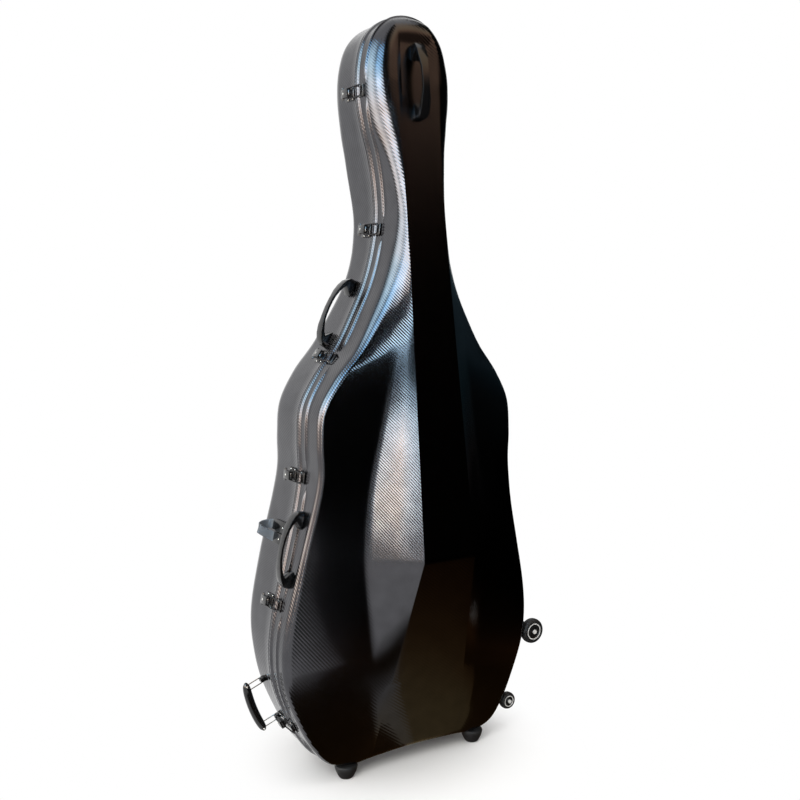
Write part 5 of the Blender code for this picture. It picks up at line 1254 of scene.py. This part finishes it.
def painted_floor_reflection(name, turns, reach, stops):
    """Sheet just above the floor in front of the case that only reflections see: a painted reflection of the floor,
    dark and brown, from turn to turn and out to a reach.
    """
    def spot(turn, away):
        way = math.radians(turn)
        return Vector((away * math.sin(way), -away * math.cos(way), PAINTED_FLOOR_REFLECTION_HEIGHT))
    corners = [(turns[0], reach[0]), (turns[1], reach[0]), (turns[1], reach[1]), (turns[0], reach[1])]
    sheet_of(name, corners, spot, glowing(name, 1.0, stops, 1, (0.001, 0.001)))


def lamp(name, place, target, size, power, tint):
    data = bpy.data.lights.new(name, "AREA")
    data.shape = "RECTANGLE"
    data.size, data.size_y = size
    data.energy = power
    data.color = colour(tint)[:3]
    made = bpy.data.objects.new(name, data)
    bpy.context.scene.collection.objects.link(made)
    made.location = place
    made.rotation_euler = (Vector(target) - Vector(place)).to_track_quat("-Z", "Y").to_euler()
    made.visible_glossy = False
    return made


def studio_world():
    """White behind everything that camera, gloss and glass see; a softer fill for the rest."""
    world = bpy.data.worlds.new("studio")
    bpy.context.scene.world = world
    world.use_nodes = True
    tree = world.node_tree
    fill = tree.nodes["Background"]
    fill.inputs["Color"].default_value = colour("#f6f4f1")
    fill.inputs["Strength"].default_value = 0.75
    white = put(tree, "ShaderNodeBackground", {"Color": colour("#ffffff"), "Strength": 1.0})
    rays = put(tree, "ShaderNodeLightPath")
    seen = put(tree, "ShaderNodeMath", {"operation": "MAXIMUM"},
               {0: rays.outputs["Is Camera Ray"], 1: rays.outputs["Is Glossy Ray"]})
    seen = put(tree, "ShaderNodeMath", {"operation": "MAXIMUM"},
               {0: seen.outputs[0], 1: rays.outputs["Is Transmission Ray"]})
    mix = put(tree, "ShaderNodeMixShader", links={0: seen.outputs[0], 1: fill.outputs[0],
                                                  2: white.outputs[0]})
    tree.links.new(mix.outputs[0], tree.nodes["World Output"].inputs["Surface"])


def floor():
    """White floor that keeps the case's shadow and melts into the white background further out."""
    bm = bmesh.new()
    bmesh.ops.create_circle(bm, cap_ends=True, radius=40.0, segments=96)
    made = scratch(mesh_of(bm, "floor"), "floor")
    finish, tree, shader = blank("white_floor", Base_Color=colour("#ffffff"), Roughness=1.0)
    shader.inputs["Specular IOR Level"].default_value = 0.0
    place = put(tree, "ShaderNodeTexCoord").outputs["Object"]
    away = put(tree, "ShaderNodeVectorMath", {"operation": "LENGTH"}, {0: place})
    share = put(tree, "ShaderNodeMapRange", {"interpolation_type": "SMOOTHSTEP", "From Min": FLOOR_SHADE[0],
                                             "From Max": FLOOR_SHADE[1]}, {"Value": away.outputs["Value"]})
    rays = put(tree, "ShaderNodeLightPath")
    seen = put(tree, "ShaderNodeMath", {"operation": "MAXIMUM"},
               {0: rays.outputs["Is Camera Ray"], 1: rays.outputs["Is Glossy Ray"]})
    seen = put(tree, "ShaderNodeMath", {"operation": "MAXIMUM"},
               {0: seen.outputs[0], 1: rays.outputs["Is Transmission Ray"]})
    share = put(tree, "ShaderNodeMath", {"operation": "MULTIPLY"}, {0: share.outputs[0], 1: seen.outputs[0]})
    white = put(tree, "ShaderNodeEmission", {"Color": colour("#ffffff"), "Strength": 1.0})
    mix = put(tree, "ShaderNodeMixShader", links={0: share.outputs[0], 1: shader.outputs[0],
                                                  2: white.outputs[0]})
    tree.links.new(mix.outputs[0], tree.nodes["Material Output"].inputs["Surface"])
    made.data.materials.append(finish)


def camera():
    data = bpy.data.cameras.new("photo_camera")
    data.lens = 45.0
    data.sensor_width = 36.0
    made = bpy.data.objects.new("photo_camera", data)
    bpy.context.scene.collection.objects.link(made)
    made.location = Vector((-1.423, -2.290, 1.284)) + SHIFT
    made.rotation_euler = Euler((math.radians(90.0 - 6.3), 0.0, math.radians(-31.99)), "XYZ")
    bpy.context.scene.camera = made


bpy.context.scene.view_settings.view_transform = "Standard"
studio_world()
floor()
lamp("window_left", (-2.6, -1.9, 2.4), (0.0, 0.0, 0.9), (1.6, 2.2), 60.0, "#fbfaf7")
lamp("top_soft", (0.3, -0.4, 3.8), (0.0, 0.0, 0.0), (2.4, 2.0), 50.0, "#ffffff")
# Painted highlights: glowing sheets shaped as windows that only reflections see; they light nothing.
card("low_window_painted_reflection", [(-54, -8), (-20, 11), (-19, 15), (-53, 5)], 17.0,
     [(0.0, "#d9a57c"), (0.08, "#e6c09c"), (0.16, "#f2e6d8"), (0.26, "#f6f8f8"), (0.6, "#d5ecf8"),
      (1.0, "#a5cbe2")], 0, (0.02, 0.12))
card("high_window_painted_reflection", [(-76, 4), (-43, 4), (-45, 41), (-76, 41)], 12.0,
     [(0.0, "#e8bf9e"), (0.12, "#f2dcc8"), (0.28, "#ffffff"), (0.5, "#cfe8fa"), (0.68, "#a4d5f7"),
      (0.9, "#84bce6"), (1.0, "#5f93bf")], 1, (0.03, 0.05))
card("far_window_painted_reflection", [(-132, -9), (-68, -9), (-68, 48), (-132, 48)], 9.5,
     [(0.0, "#b8906f"), (0.15, "#e8dccf"), (0.4, "#f4f6f6"), (0.65, "#cdebf5"), (1.0, "#84aac8")], 1, (0.45, 0.06),
     CARD_RADIUS + 0.1)
# Painted reflections: dark sheets, one grading into brown, that only reflections see, put where the case is to reflect
# dark or brown.
card("front_painted_dark_reflection", [(-45, -12), (62, -12), (62, 22), (-45, 22)], 1.0,
     [(0.0, "#040302"), (1.0, "#040302")], radius=DARK_REFLECTION_RADIUS)
card("upper_painted_dark_reflection", [(-45, 20), (-8, 20), (-8, 80), (-45, 80)], 1.0,
     [(0.0, "#040302"), (1.0, "#040302")], radius=DARK_REFLECTION_RADIUS + 0.1)
card("front_painted_brown_reflection", [(-9, 21), (62, 21), (62, 80), (-9, 80)], 1.1,
     [(0.0, "#040302"), (0.05, "#4a3a30"), (0.155, "#a08270"), (0.224, "#e3b391"), (0.43, "#ffe0b8"),
      (1.0, "#ffeedd")], radius=DARK_REFLECTION_RADIUS + 0.15)
card("right_painted_dark_reflection", [(62, -12), (128, -12), (128, 60), (62, 60)], 1.0,
     [(0.0, "#1d0f0a"), (0.14, "#18282e"), (0.24, "#3a4c55"), (0.34, "#15181c"), (0.5, "#0a0a0a"),
      (1.0, "#30302c")], radius=DARK_REFLECTION_RADIUS)
# Painted reflections of the floor: dark and brown sheets lying in front of the case that only reflections see; they
# cast no shadow and light nothing.
for label, turns, stops in (
        ("left", (-82, -14), [(0.0, "#4a3520"), (0.5, "#38260f"), (1.0, "#241505")]),
        ("front_left", (-14, 8), [(0.0, "#8a7856"), (0.5, "#a9a7a4"), (1.0, "#8d8c8e")]),
        ("front", (8, 60), [(0.0, "#8a7856"), (0.4, "#7c6846"), (0.62, "#60472b"), (1.0, "#3b2611")]),
        ("right", (60, 126), [(0.0, "#4a3520"), (0.5, "#38260f"), (1.0, "#241505")])):
    painted_floor_reflection(f"{label}_floor_painted_reflection", turns, (0.0, 0.72), stops)
painted_floor_reflection("front_floor_painted_reflection", (-27, 126), (0.72, 6.1), [(0.0, "#432b14"), (0.06, "#1c0f06"), (0.14, "#000000")])
camera()
